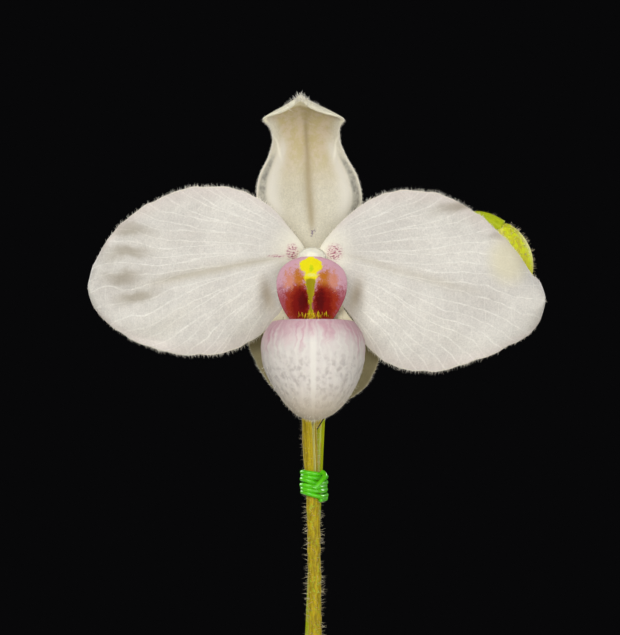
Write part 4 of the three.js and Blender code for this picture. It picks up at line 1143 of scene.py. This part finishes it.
# Painted highlight along the inward folds.
ground = node(tree, "Mix", {0: paint["fold"], 6: ground, 7: linear("#F4EFDD")}, 2, data_type="RGBA")
dots = node(tree, "TexNoise", {"Vector": place, "Scale": per(0.5), "Detail": 2.0})
dots = node(tree, "MapRange", {0: dots, 1: 0.52, 2: 0.62}, interpolation_type="SMOOTHSTEP")
dots = node(tree, "Math", {0: dots, 1: paint["spots"]}, operation="MULTIPLY")
ground = node(tree, "Mix", {0: dots, 6: ground, 7: linear("#8C7F88")}, 2, data_type="RGBA")
ground = node(tree, "Mix", {0: paint["band"], 6: ground, 7: linear("#F8F2D8")}, 2, data_type="RGBA")
tree.links.new(ground, shader["Base Color"])
form = sheet(160, 116, sepal_surface, thinned(FLESH_THICKNESS, 0.35, 4), side=-1)
for name, values in SEPAL_PAINTS.items():
    kept_on(form, name, values)
sepal = settle("dorsal_sepal_blade", form, sepal_flesh)
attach(sepal, "root")
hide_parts("dorsal_sepal")

# Petals: two broad rounded wings of thin flesh, white with a pale net of veins, their margins softly
# waved and tinged with pink. A groove runs out from the base of each, and pink specks cluster there.
PETAL_VEINS = 18
FAN_ANGLE = 1.75
PETALS = {
    # The veins fan out from root and lean by slope. The groove has a start, a drift and a strength.
    # Hollow is its x and z. Specks and each patch of stain and painted shade are x, z, width and height.
    "left": {
        "upper": [
            [-0.9, 0.6], [-1.65, 2], [-2.9, 3.7], [-4.5, 5.6], [-7.4, 9.1], [-11.3, 12],
            [-16.4, 13.9], [-22.8, 14.3], [-29.2, 13], [-37.6, 8.5], [-41.1, 5.2], [-43.9, 1.3],
            [-45.8, -2.2], [-46.5, -4.8], [-46.7, -6.5],
        ],
        "lower": [
            [0, -4.2], [-6.1, -11.8], [-10.5, -16.6], [-15.8, -19.7], [-22.9, -21], [-31.7, -20],
            [-39.5, -16.6], [-44.3, -12.6], [-46.2, -9.9], [-46.6, -8.4], [-46.7, -6.9],
        ],
        "side": 1, "root": (3, 0.5), "slope": -0.13, "phase": 0.1, "groove": (0.44, 0.15, 1),
        "wrinkle": 0.32, "hollow": (-8.9, -8.8), "specks": (-3.9, 0.6, 1.7, 2.4),
        # Patches where the furrows darken: mostly painted shade of the petal's wrinkles, with some stain.
        "stain_and_shade": ((-37.4, 3.4, 4.2, 4.6), (-39.6, -3.4, 3.6, 5), (-36, -9, 4, 2.2)),
    },
    "right": {
        "upper": [
            [1.5, 0.6], [2.2, 2], [3.4, 3.7], [5.1, 5.6], [7.4, 7.9], [13.2, 12], [19.6, 13.5],
            [27.3, 12.6], [34.4, 9], [41.8, 2.3], [46.7, -4.1], [48.2, -5.7], [48.9, -7.4], [49.1, -9],
        ],
        "lower": [
            [0.4, -4.2], [8.6, -13.2], [11.3, -18.5], [15.8, -22.5], [24.8, -24.5], [35.1, -21.9],
            [41.5, -19.1], [45.9, -16.6], [48.4, -13.4], [49, -11], [49.1, -9.6],
        ],
        "side": -1, "root": (-3, 0.5), "slope": -0.2, "phase": 0.35, "groove": (0.42, 0.13, 0.5),
        "wrinkle": 0.14, "hollow": (9.2, -8.8), "specks": (4.9, 0.5, 2.2, 2.4),
        "stain_and_shade": ((38.6, 4.8, 2.2, 1.2), (31.5, 10, 6, 2)),
    },
}


def fan_of(shape, x, z):
    """Where a point lies in a petal's fan of veins: its line, counted in veins, and how far out."""
    root_x, root_z = shape["root"]
    out, up = np.abs(x - root_x), z - root_z
    reach = np.hypot(out, up)
    angle = np.arctan2(up, out) - shape["slope"]
    return angle / (1 + 0.006 * reach) * PETAL_VEINS / FAN_ANGLE, reach


def petal_depth(shape):
    """How far a petal's surface stands out of the flower's face."""

    def depth(v, t, x, z):
        sweep = 0.75 + 2.2 * np.sin(math.pi * np.minimum(1, v * 1.05)) - 2.6 * v * v
        crown = -1.3 * (2 * t - 1) ** 2 * smooth(v, 0.15, 0.6)
        keel = -0.5 * np.exp(-(((t - 0.46) / 0.1) ** 2)) * (1 - v)
        edge = smooth(t, 0.62, 1) + 0.5 * smooth(1 - t, 0.7, 1)
        ruffle = 0.8 * edge * np.sin(2 * math.pi * (2.6 * v + shape["phase"])) * smooth(v, 0.2, 0.5)
        line, reach = fan_of(shape, x, z)
        start, drift, strength = shape["groove"]
        groove = 0.25 * strength * np.exp(-(((t - start - drift * v) / 0.024) ** 2)) * smooth(v, 0.1, 0.25)
        groove *= 1 - smooth(v, 0.5, 0.75)
        pucker = np.sin(math.pi * line + 1.5 * np.sin(0.21 * reach)) + 0.6 * np.sin(2 * math.pi * line / 2.7)
        pucker *= shape["wrinkle"] * (0.25 + smooth(reach, 26, 36) * (1 - smooth(reach, 42, 48)))
        pucker *= smooth(v, 0.2, 0.4) * (1 - smooth(off_midrib(t), 0.85, 1))
        hollow_x, hollow_z = shape["hollow"]
        dip = 1.3 * np.exp(-(((x - hollow_x) / 1.9) ** 2) - ((z - hollow_z) / 4.6) ** 2)
        return sweep + crown + keel + ruffle - groove + pucker - dip

    return depth


# Petal flesh: matt white with pale veins that branch outwards, dark furrows of stain and painted shade where
# it wrinkles, a cream middle, painted shade in its groove and hollow, and pink specks in a faint pink cloud
# at the base of each petal.
flesh, tree, shader, ground = petal_flesh(
    "petal_flesh", "#D3CEC6", "#E3DFD6", "#D8C9C1", "#FCF9F0", 0.6
)
paint = {}
for name in ("groove", "hollow", "specks", "centre", "sun", "stain_and_shade"):
    paint[name] = node(tree, "Attribute", {}, "Fac", attribute_name=name)
furrow_shade = node(tree, "Attribute", {}, "Fac", attribute_name="fan")
place = node(tree, "TexCoord", {}, "Object")
ruffle = node(tree, "TexNoise", {"Vector": place, "Scale": per(5), "Detail": 3.0})
furrow_shade = node(tree, "Math", {0: ruffle, 1: 0.8, 2: furrow_shade}, operation="MULTIPLY_ADD")
furrow_shade = node(tree, "Math", {0: furrow_shade}, operation="FRACT")
furrow_shade = off_middle(tree, furrow_shade)
furrow_shade = node(
    tree, "MapRange", {0: furrow_shade, 1: 0.08, 2: 0.42, 3: 1.0, 4: 0.1}, interpolation_type="SMOOTHSTEP"
)
# The furrows between the veins darken in these patches, partly from stain and partly as painted shade of the
# wrinkles.
furrow_shade = node(tree, "Math", {0: furrow_shade, 1: paint["stain_and_shade"]}, operation="MULTIPLY")
ground = node(tree, "Mix", {0: furrow_shade, 6: ground, 7: linear("#9C917C")}, 2, data_type="RGBA")
# Painted shade along the groove near the base of each petal.
ground = node(tree, "Mix", {0: paint["groove"], 6: ground, 7: linear("#B9AF97")}, 2, data_type="RGBA")
# Painted shade in the hollow at the lower base of each petal.
ground = node(tree, "Mix", {0: paint["hollow"], 6: ground, 7: linear("#B5A78F")}, 2, data_type="RGBA")
ground = node(tree, "Mix", {0: paint["centre"], 6: ground, 7: linear("#F7F2DC")}, 2, data_type="RGBA")
ground = node(tree, "Mix", {0: paint["sun"], 6: ground, 7: linear("#E6DDB4")}, 2, data_type="RGBA")
dashes = node(tree, "Mapping", {"Vector": place, "Scale": (0.35, 1, 1)})
dashes = node(tree, "TexNoise", {"Vector": dashes, "Scale": per(0.2), "Detail": 1.0})
dashes = node(tree, "MapRange", {0: dashes, 1: 0.5, 2: 0.58}, interpolation_type="SMOOTHSTEP")
blush = node(tree, "Math", {0: paint["specks"], 1: 0.35}, operation="MULTIPLY")
dashes = node(tree, "Math", {0: dashes, 1: paint["specks"]}, operation="MULTIPLY")
ground = node(tree, "Mix", {0: blush, 6: ground, 7: linear("#DDB4BC")}, 2, data_type="RGBA")
ground = node(tree, "Mix", {0: dashes, 6: ground, 7: linear("#A8506C")}, 2, data_type="RGBA")
tree.links.new(ground, shader["Base Color"])
for name, shape in PETALS.items():
    start, drift, strength = shape["groove"]
    hollow_x, hollow_z = shape["hollow"]
    specks_x, specks_z, specks_wide, specks_tall = shape["specks"]
    paints = {
        "fan": lambda v, u, x, z: fan_of(shape, x, z)[0],
        "reach": lambda v, u, x, z: fan_of(shape, x, z)[1],
        # Painted shade in the groove, where the surface also dips.
        "groove": lambda v, u, x, z: 0.55 * strength
        * np.exp(-(((u - start - drift * v) / 0.03) ** 2))
        * smooth(v, 0.1, 0.25)
        * (1 - smooth(v, 0.5, 0.75)),
        # Painted shade in the hollow, where the surface also dips.
        "hollow": lambda v, u, x, z: 0.75
        * np.exp(-(((x - hollow_x + 0.25 * shape["side"] * (z - hollow_z)) / 1.3) ** 2))
        * np.exp(-(((z - hollow_z) / 3.4) ** 2)),
        "specks": lambda v, u, x, z: np.maximum(
            1 - smooth(np.hypot((x - specks_x) / specks_wide, (z - specks_z) / specks_tall), 0.3, 1),
            0.8 * (shape["side"] > 0) * (1 - smooth(np.hypot((x + 7) / 2.6, (z + 0.25) / 0.35), 0.5, 1)),
        ),
        "centre": lambda v, u, x, z: 0.7 * (1 - smooth(np.hypot(x, z), 2.5, 11)),
        "sun": lambda v, u, x, z: (shape["side"] < 0)
        * 0.55
        * (1 - smooth(np.hypot((x - 41.5) / 6, (z + 1) / 7), 0.3, 1)),
        # Patches of stain and of painted shade in the wrinkled furrows.
        "stain_and_shade": lambda v, u, x, z: 0.65
        * np.clip(
            sum(
                np.exp(-(((x - at_x) / wide) ** 2) - ((z - at_z) / tall) ** 2)
                for at_x, at_z, wide, tall in shape["stain_and_shade"]
            ),
            0, 1,
        ),
    }
    surface = between_edges(shape["upper"], shape["lower"], petal_depth(shape), scallop=0.1)
    form = sheet(136, 172, surface, thinned(FLESH_THICKNESS, 0.4, 6), side=shape["side"])
    for paint_name, values in paints.items():
        kept_on(form, paint_name, values)
    petal = settle(f"{name}_petal_blade", form, flesh)
    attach(petal, "root")
    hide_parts(f"petal_{name}")
    shape["surface"] = surface

# Flower down: the short pale hairs that fringe petals and sepals and cover their backs.
# They grow from the skin itself, longest on the petals' margins and on the sepal's folded tip.
PETAL_HAIRS = 900
SEPAL_HAIRS = 1000
SYNSEPAL_HAIRS = 700
BACK_HAIRS = 1000
TIP_HAIRS = 160
TUFT_HAIRS = 380
# Petal hair: nearly white, so that it glints along the margins.
petal_down = hair_material("petal_hair", 0.5, "#EFE6D2", "#FFFCF2")


def fringe(surface, count, lengths, side, seed):
    """Hairs on both margins of a sheet, its blunt tip and its back."""
    draws = np.random.default_rng(seed)
    margin = (draws.uniform(0, 1, count) > 0.5).astype(float)
    places = sheet_hairs(surface, draws.uniform(0.05, 1, count), margin, lengths, 0.8, seed, -side)
    ends = draws.uniform(0, 1, TIP_HAIRS)
    places += sheet_hairs(surface, np.ones(TIP_HAIRS), ends, lengths, 0.6, seed + 1, -side, spread=0.5)
    back = draws.uniform(0.05, 0.98, (2, BACK_HAIRS))
    return places + sheet_hairs(surface, *back, (0.3, 0.7), 0.0, seed + 2, -side)


for name, shape in PETALS.items():
    places = fringe(shape["surface"], PETAL_HAIRS, (0.4, 1.1), shape["side"], 42)
    form = strewn(bmesh.new(), hair_shapes(0.048, (0.0, 0.15, 0.3)), places)
    hairs = settle(f"{name}_petal_fringe", form, petal_down)
    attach(hairs, "root")
draws = np.random.default_rng(45)
places = fringe(sepal_surface, SEPAL_HAIRS, (0.25, 0.6), -1, 44)
form = strewn(bmesh.new(), hair_shapes(0.055, (0.0, 0.2, 0.35)), places)
v, u = draws.uniform(0.8, 1, TUFT_HAIRS), draws.uniform(0, 1, TUFT_HAIRS)
direction = np.array([0, -0.2, 0.6]) + draws.normal(0, 0.4, (TUFT_HAIRS, 3))
lengths = draws.uniform(0.5, 1.1, TUFT_HAIRS) + 0.7 * smooth(v, 0.86, 0.96)
places = hair_places(sepal_surface(v, u), direction, lengths, 45)
form = strewn(form, hair_shapes(0.062, (0.0, 0.2, 0.35)), places)
hairs = settle("sepal_fringe", form, petal_down)
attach(hairs, "root")
places = fringe(synsepal_surface, SYNSEPAL_HAIRS, (0.3, 0.7), 1, 46)
form = strewn(bmesh.new(), hair_shapes(0.055, (0.0, 0.15, 0.3)), places)
hairs = settle("synsepal_fringe", form, petal_down)
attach(hairs, "root")

# Staminode: the domed shield in front of the column, with a satin skin. Yellow down its middle,
# dark red on its lobes, orange and salmon above them, and mauve round its rim.
STAMINODE_MIDDLE = 0.1
# How far down the shield, with half the width of its yellow stripe there
YELLOW_HALF = [
    [0, 0.3], [0.9, 1.3], [1.6, 2.5], [2.7, 2.55], [3.7, 1.75], [4.9, 1.45], [6.2, 1.1], [8.2, 0.68],
    [10, 0.36], [11.2, 0.34], [12.2, 0.6], [14, 0.5],
]
staminode_surface = between_edges(
    [[-2, -0.6], [-4.5, -1.6], [-6.3, -3.3], [-7, -5.4], [-6.8, -8.3], [-5.7, -11.4], [-3.6, -14.6]],
    [[2, -0.6], [4.7, -1.6], [6.7, -3.4], [7.4, -5.8], [7, -8.8], [5.7, -11.6], [3.8, -14.6]],
    lambda v, u, x, z: 3.7
    - 0.3 * z
    + 2.3 * (1 - ((x - 0.2) / 7.5) ** 2)
    - 0.9 * np.exp(-((x - 0.2) ** 2) / 1.6) * smooth(-z, 2, 8),
)
# Staminode flesh: satin, with a fine grain. Its colours run into each other with ragged edges.
shield, tree, shader = finish(
    "staminode_flesh", {"Roughness": 0.65, "Specular IOR Level": 0.12}
)
place = node(tree, "TexCoord", {}, "Object")
ragged = node(tree, "TexNoise", {"Vector": place, "Scale": per(0.9), "Detail": 7.0, "Roughness": 0.85})
ragged = node(tree, "MapRange", {0: ragged, 1: 0.33, 2: 0.67, 3: -1.4, 4: 1.4})


def patch(x, z, wide, tall):
    """How far inside an oval on both halves of the shield a point is: 1 at its middle, 0 at its edge."""
    return lambda v, u, at_x, at_z: 1 - np.hypot(
        (np.abs(at_x - STAMINODE_MIDDLE) - x) / wide, (at_z - z) / tall
    )


def stripe(v, u, x, z):
    """How far inside the yellow stripe a point is, in millimetres."""
    return along(YELLOW_HALF, -z) - np.abs(x + 0.05)


STAMINODE_PAINTS = {
    # name: how far inside a patch a point is; the patch's colour; how ragged and how soft its edge is
    "cheek": (lambda v, u, x, z: (-5.2 - z) / 4, "#A9545F", 0.35, 0.9),
    "brick": (patch(2.9, -9.8, 3.2, 5.6), "#A23116", 0.22, 0.36),
    "orange": (patch(2.7, -4.9, 2.3, 2.6), "#C4741F", 0.45, 0.75),
    "salmon": (patch(4.6, -5.4, 1.5, 2.7), "#D98F76", 0.5, 0.75),
    "red": (patch(2.3, -10.4, 2.5, 4.7), "#7E0C03", 0.2, 0.5),
    "wine": (patch(1.8, -9.6, 1.4, 3), "#5C0000", 0.26, 0.7),
    "yellow": (stripe, "#F6E712", 0.36, 0.45),
    "olive": (
        lambda v, u, x, z: stripe(v, u, x, z) * smooth(-z, 4.6, 6.6) * (1 - smooth(-z, 11.6, 12.4)),
        "#A3960E", 0.06, 0.25,
    ),
    "green": (patch(0, -2.9, 0.6, 0.9), "#C9DA10", 0.3, 0.6),
    "pale": (patch(0, -4.3, 1.7, 0.45), "#F3EC70", 0.35, 0.6),
}
form = sheet(120, 130, staminode_surface, thinned(FLESH_THICKNESS, 0.3, 4))
paint = linear("#D8A8B6")
for name, (values, colour, rag, softness) in STAMINODE_PAINTS.items():
    kept_on(form, name, values)
    amount = node(tree, "Attribute", {}, "Fac", attribute_name=name)
    amount = node(tree, "Math", {0: ragged, 1: rag, 2: amount}, operation="MULTIPLY_ADD")
    amount = node(tree, "MapRange", {0: amount, 1: 0.0, 2: softness}, interpolation_type="SMOOTHSTEP")
    paint = node(tree, "Mix", {0: amount, 6: paint, 7: linear(colour)}, 2, data_type="RGBA")
tree.links.new(paint, shader["Base Color"])
relief = node(tree, "Bump", {"Height": ragged, "Strength": 0.25, "Distance": 0.12 * MM})
tree.links.new(relief, shader["Normal"])
staminode = settle("staminode_shield", form, shield)
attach(staminode, "root")
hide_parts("staminode")

# Staminode hairs: a few short yellow hairs that lie upwards along the staminode's lower edge.
# They grow from its skin, most of them to the right of its middle.
EDGE_HAIRS = 46
# Yellow hair: golden, so that it shows against the dark red.
gilt = hair_material("yellow_hair", 0.4, "#F0B810", "#FFE620")
draws = np.random.default_rng(47)
u = np.clip(draws.normal(0.56, 0.16, EDGE_HAIRS), 0.1, 0.92)
v = draws.uniform(0.86, 0.93, EDGE_HAIRS)
root = staminode_surface(v, u) + facing(staminode_surface, v, u) * 0.35
direction = np.array([0, -0.45, 1]) + draws.normal(0, 0.12, (EDGE_HAIRS, 3))
places = hair_places(root, direction, draws.uniform(0.6, 1.7, EDGE_HAIRS), 48)
form = strewn(bmesh.new(), hair_shapes(0.14, (0.0, 0.05)), places)
hairs = settle("staminode_hairs", form, gilt)
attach(hairs, "root")

# Lip: the inflated pouch. Its rim is level in front and at its sides, rolled in, and rises at the back
# to the column. Thin white flesh, pink at the rim, with painted grey shade in the dimples between its veins,
# cream inside.
LIP_X = 0.45
LIP_OUT = 11.5
LIP_RADIUS = 10.7
LIP_WALL = 0.8
LIP_LEVEL = -19
LIP_VEINS = 38
LIP_HAIRS = 500
# Equal steps up the outside, over the rim and down the inside: angles from straight up, and how far in
LIP_ANGLES = [180, 160, 140, 120, 103, 88, 73, 62, 55, 51, 50, 56, 62, 75, 95, 118, 140, 160, 180]
LIP_WALLS = [0] * 9 + [0.08, 1.2, 1.68] + [LIP_WALL] * 7


def noise_field(x, y, seed):
    """Soft noise over a surface's own two coordinates."""
    return np.array([noise.noise(Vector((a, b, seed))) for a, b in zip(x, y)])


def lip_place(v, turn):
    row = v * (len(LIP_ANGLES) - 1)
    polar = np.radians(along(list(enumerate(LIP_ANGLES)), row))
    wall = along(list(enumerate(LIP_WALLS)), row)
    tall = np.where(np.cos(polar) > 0, 9, 15.2)
    outer = 1 - smooth(v, 0.38, 0.46)
    dimple = noise_field(turn * 7, v * 46, 3) * 0.12 * outer * smooth(v, 0.03, 0.1)
    radius = (LIP_RADIUS - wall - dimple) * np.sin(polar)
    front = np.cos(turn)
    z = LIP_LEVEL + (tall - wall) * np.cos(polar)
    rim_share = smooth(z, -21, -13.6)
    back = np.maximum(-front, 0)
    z = z + rim_share * (8.4 * back**3 - 0.5 * np.sin(turn) ** 4)
    lean = 1.2 * rim_share * smooth(-front, 0.3, 1)
    shallow = np.where(front < 0, 0.96, 0.9)
    taper = 1 - np.where(np.sin(turn) < 0, 0.15, 0.05) * smooth(-z, 22, 32)
    return np.stack(
        face(LIP_X + radius * taper * np.sin(turn), LIP_OUT + radius * front * shallow - lean, z), 1
    )


# Lip flesh: matt, with light soaking in a little. White with pale veins and painted grey shade in the
# dimples between them, tan below from its own colour and painted shade, streaked with pink towards the rim,
# and cream where the inside shows.
pouch, tree, shader = finish(
    "lip_flesh",
    {
        "Roughness": 0.55, "Specular IOR Level": 0.3, "Subsurface Weight": 0.15,
        "Subsurface Scale": 1.0 * MM, "Subsurface Radius": (1, 0.9, 0.85),
    },
)
spot = node(tree, "Attribute", {}, "Vector", attribute_name="round_place")
across = node(tree, "SeparateXYZ", {0: spot}, "X")
front = node(tree, "SeparateXYZ", {0: spot}, "Y")
share = node(tree, "SeparateXYZ", {0: spot}, "Z")
place = node(tree, "TexCoord", {}, "Object")
height = node(tree, "SeparateXYZ", {0: place}, "Z")
turn = node(tree, "Math", {0: across, 1: front}, operation="ARCTAN2")
wobble = node(tree, "TexNoise", {"Vector": place, "Scale": per(3), "Detail": 3.0})
wobble = node(tree, "MapRange", {0: wobble, 3: -1.2, 4: 1.2})
line = node(tree, "Math", {0: turn, 1: LIP_VEINS / (2 * math.pi), 2: wobble}, operation="MULTIPLY_ADD")
veins = node(tree, "Math", {0: line}, operation="FRACT")
veins = off_middle(tree, veins)
veins = node(tree, "MapRange", {0: veins, 1: 0.2, 2: 0.5, 4: 0.5}, interpolation_type="SMOOTHSTEP")
middle = node(tree, "Math", {0: turn}, operation="ABSOLUTE")
middle = node(
    tree, "MapRange", {0: middle, 1: 0.03, 2: 0.09, 3: 1.0, 4: 0.0}, interpolation_type="SMOOTHSTEP"
)
veins = node(tree, "Math", {0: veins, 1: middle}, operation="MAXIMUM")
# Painted grey shade in the dimples between the veins, stronger low on the pouch.
mottle = node(tree, "TexNoise", {"Vector": place, "Scale": per(1.25), "Detail": 3.0, "Roughness": 0.5})
mottle = node(tree, "MapRange", {0: mottle, 1: 0.4, 2: 0.7}, interpolation_type="SMOOTHSTEP")
plain = node(tree, "Math", {0: 1.0, 1: veins}, operation="SUBTRACT")
mottle = node(tree, "Math", {0: mottle, 1: plain}, operation="MULTIPLY")
belly = {0: height, 1: (FLOWER_HEIGHT - 24) * MM, 2: (FLOWER_HEIGHT - 18) * MM, 3: 0.8, 4: 0.15}
belly = node(tree, "MapRange", belly, interpolation_type="SMOOTHSTEP")
mottle = node(tree, "Math", {0: mottle, 1: belly}, operation="MULTIPLY")
white = node(tree, "Mix", {0: veins, 6: linear("#E4DDD6"), 7: linear("#EDE8DF")}, 2, data_type="RGBA")
# The dimples get their painted grey shade.
white = node(tree, "Mix", {0: mottle, 6: white, 7: linear("#BEB6B0")}, 2, data_type="RGBA")
# Tan towards the bottom of the pouch: partly its own colour, partly painted shade under it.
low = {0: height, 1: (FLOWER_HEIGHT - 35) * MM, 2: (FLOWER_HEIGHT - 25) * MM, 3: 0.9, 4: 0.0}
low = node(tree, "MapRange", low, interpolation_type="SMOOTHSTEP")
white = node(tree, "Mix", {0: low, 6: white, 7: linear("#D6C6AE")}, 2, data_type="RGBA")
drip = node(tree, "CombineXYZ", {0: line, 1: height})
drip = node(tree, "Mapping", {"Vector": drip, "Scale": (1.7, 120, 1)})
drip = node(tree, "TexNoise", {"Vector": drip, "Scale": 1.0, "Detail": 4.0})
streak = node(tree, "MapRange", {0: drip, 1: 0.3, 2: 0.8})
drip = node(tree, "MapRange", {0: drip, 3: -5 * MM, 4: 5 * MM})
sides = node(tree, "Math", {0: front, 1: -4.3 * MM, 2: drip}, operation="MULTIPLY_ADD")
high = node(tree, "Math", {0: height, 1: sides}, operation="ADD")
high = {0: high, 1: (FLOWER_HEIGHT - 24) * MM, 2: (FLOWER_HEIGHT - 16.5) * MM, 4: 0.95}
high = node(tree, "MapRange", high, interpolation_type="SMOOTHSTEP")
blush = node(tree, "Mix", {0: streak, 6: linear("#DDB9BE"), 7: linear("#CC93A4")}, 2, data_type="RGBA")
white = node(tree, "Mix", {0: high, 6: white, 7: blush}, 2, data_type="RGBA")
inside = node(tree, "MapRange", {0: share, 1: 0.5, 2: 0.56})
rear = node(tree, "MapRange", {0: front, 1: -0.1, 2: 0.1, 3: 1.0, 4: 0.0})
inside = node(tree, "Math", {0: inside, 1: rear}, operation="MAXIMUM")
white = node(tree, "Mix", {0: inside, 6: white, 7: linear("#EDE3C2")}, 2, data_type="RGBA")
tree.links.new(white, shader["Base Color"])
relief = node(tree, "Bump", {"Height": mottle, "Strength": 0.3, "Distance": -0.2 * MM})
tree.links.new(relief, shader["Normal"])
form = stalk(184, 160, lip_place)
kept = form.verts.layers.float_vector["round_place"]
for x, lean in ((-6.3, 40), (6.7, -40)):
    spot = Matrix.Translation(face(x, LIP_OUT - 5.2, -14.9)) @ Matrix.Rotation(math.radians(lean), 4, "Y")
    spot = spot @ Matrix.Diagonal((2.1, 1.5, 3.6, 1))
    rolled = bmesh.ops.create_uvsphere(form, u_segments=32, v_segments=20, radius=1, matrix=spot)
    for vert in rolled["verts"]:
        vert[kept] = (0, -1, 1)
lip = settle("lip_pouch", form, pouch)
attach(lip, "root")
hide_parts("lip")
places = stalk_hairs(lip_place, LIP_HAIRS, 0.01, 0.22, (0.3, 0.9), -0.3, 49)
hairs = settle("lip_down", strewn(bmesh.new(), hair_shapes(0.055, (0.0, 0.15, 0.3)), places), petal_down)
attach(hairs, "root")

# Bud: an egg of folded sepals with three low ridges, nodding from the end of its ovary.
# Yellow green, with paler ridges and a coat of hairs.
bud_start = np.array(face(41.7, -12.15, 7.2))
bud_axis = Vector((0.08, 0.08, -1)).normalized()
BUD_LENGTH = 19
BUD_RADIUS = 5.2
BUD_HAIRS = 900
bud_side = Vector((1, 0, 0)).cross(bud_axis).normalized()
bud_front = bud_axis.cross(bud_side).normalized()


def bud_place(v, turn):
    swell = np.sin(math.pi * v**0.9) ** 0.7 * (1 + 0.05 * np.cos(3 * turn))
    point = bud_start + (BUD_LENGTH * v)[:, None] * np.array(bud_axis)
    point = point + (BUD_RADIUS * swell * np.sin(turn))[:, None] * np.array(bud_side)
    return point + (BUD_RADIUS * swell * np.cos(turn))[:, None] * np.array(bud_front)


# Bud skin: fresh yellow green in fine streaks, dully shiny, with three pale ridges.
bud_skin, tree, shader = finish("bud_skin", {"Roughness": 0.55, "Specular IOR Level": 0.3})
spot = node(tree, "Attribute", {}, "Vector", attribute_name="round_place")
place = node(tree, "TexCoord", {}, "Object")
streaks = node(tree, "Mapping", {"Vector": place, "Scale": (1, 1, 0.2)})
streaks = node(tree, "TexNoise", {"Vector": streaks, "Scale": per(0.9), "Detail": 4.0})
streaks = node(tree, "MapRange", {0: streaks, 1: 0.35, 2: 0.65}, interpolation_type="SMOOTHSTEP")
lime = node(tree, "Mix", {0: streaks, 6: linear("#D8D03A"), 7: linear("#E8F222")}, 2, data_type="RGBA")
turn_sine = node(tree, "SeparateXYZ", {0: spot}, "X")
turn_cosine = node(tree, "SeparateXYZ", {0: spot}, "Y")
ridge = node(tree, "Math", {0: turn_sine, 1: turn_cosine}, operation="ARCTAN2")
ridge = node(tree, "Math", {0: ridge, 1: 3.0}, operation="MULTIPLY")
ridge = node(tree, "Math", {0: ridge}, operation="COSINE")
ridge = node(tree, "MapRange", {0: ridge, 1: 0.6, 2: 1.0, 4: 0.8}, interpolation_type="SMOOTHSTEP")
lime = node(tree, "Mix", {0: ridge, 6: lime, 7: linear("#FFF87A")}, 2, data_type="RGBA")
tree.links.new(lime, shader["Base Color"])
relief = node(tree, "Bump", {"Height": streaks, "Strength": 0.3, "Distance": 0.2 * MM})
tree.links.new(relief, shader["Normal"])
bud = settle("bud_egg", stalk(80, 72, bud_place), bud_skin)
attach(bud, "root")
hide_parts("bud")
places = stalk_hairs(bud_place, BUD_HAIRS, 0.02, 0.98, (0.5, 1.1), 0.1, 51)
hairs = settle("bud_down", strewn(bmesh.new(), hair_shapes(0.055, (0.0, 0.12, 0.25)), places), down)
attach(hairs, "root")

# Photo studio: a pale tabletop, a dark room, and soft lights in front, above and behind.
# The camera faces the flower squarely from half a metre away. Sizes in this section are metres.
FLOOR_RADIUS = 0.85
VIEW_DISTANCE = 0.5
VIEW_RIGHT = -0.0002
VIEW_BELOW = 0.0131
# Pale paper: matt and nearly even, so that nothing on the table draws the eye.
paper, tree, shader = finish("pale_paper", {"Roughness": 0.9})
place = node(tree, "TexCoord", {}, "Object")
fibre = node(tree, "TexNoise", {"Vector": place, "Scale": per(4), "Detail": 3.0})
sheet_colour = node(tree, "Mix", {0: fibre, 6: linear("#C9C5BC"), 7: linear("#D2CEC6")}, 2, data_type="RGBA")
tree.links.new(sheet_colour, shader["Base Color"])
form = bmesh.new()
bmesh.ops.create_circle(form, cap_ends=True, segments=96, radius=FLOOR_RADIUS / MM)
floor = settle("floor", form, paper)

world = bpy.data.worlds.new("dark_room")
bpy.context.scene.world = world
world.use_nodes = True
world.node_tree.nodes["Background"].inputs["Color"].default_value = linear("#080809")
world.node_tree.nodes["Background"].inputs["Strength"].default_value = 1.0

flower_middle = Vector(face(0, 2, -4)) * MM
LIGHTS = {
    # place, width and power
    "key_softbox": ((-0.34, -0.72, 0.62), 0.6, 5.0),
    "fill_softbox": ((0.42, -0.8, 0.16), 0.7, 5.0),
    "left_back_light": ((-0.5, 0.45, 0.5), 0.3, 2.4),
    "right_back_light": ((0.5, 0.45, 0.5), 0.3, 2.4),
}
for name, (spot, width, power) in LIGHTS.items():
    lamp = bpy.data.lights.new(name, "AREA")
    lamp.energy = power
    lamp.size = width
    light = bpy.data.objects.new(name, lamp)
    light.location = spot
    light.rotation_euler = (flower_middle - light.location).to_track_quat("-Z", "Y").to_euler()
    light.visible_camera = False
    bpy.context.scene.collection.objects.link(light)

lens = bpy.data.cameras.new("camera")
lens.lens = 135
lens.clip_start = 0.01
camera = bpy.data.objects.new("camera", lens)
camera.location = (VIEW_RIGHT, -FLOWER_FORWARD * MM - VIEW_DISTANCE, FLOWER_HEIGHT * MM - VIEW_BELOW)
camera.rotation_euler = (math.pi / 2, 0, 0)
bpy.context.scene.collection.objects.link(camera)
bpy.context.scene.camera = camera
bpy.context.scene.view_settings.view_transform = "Standard"
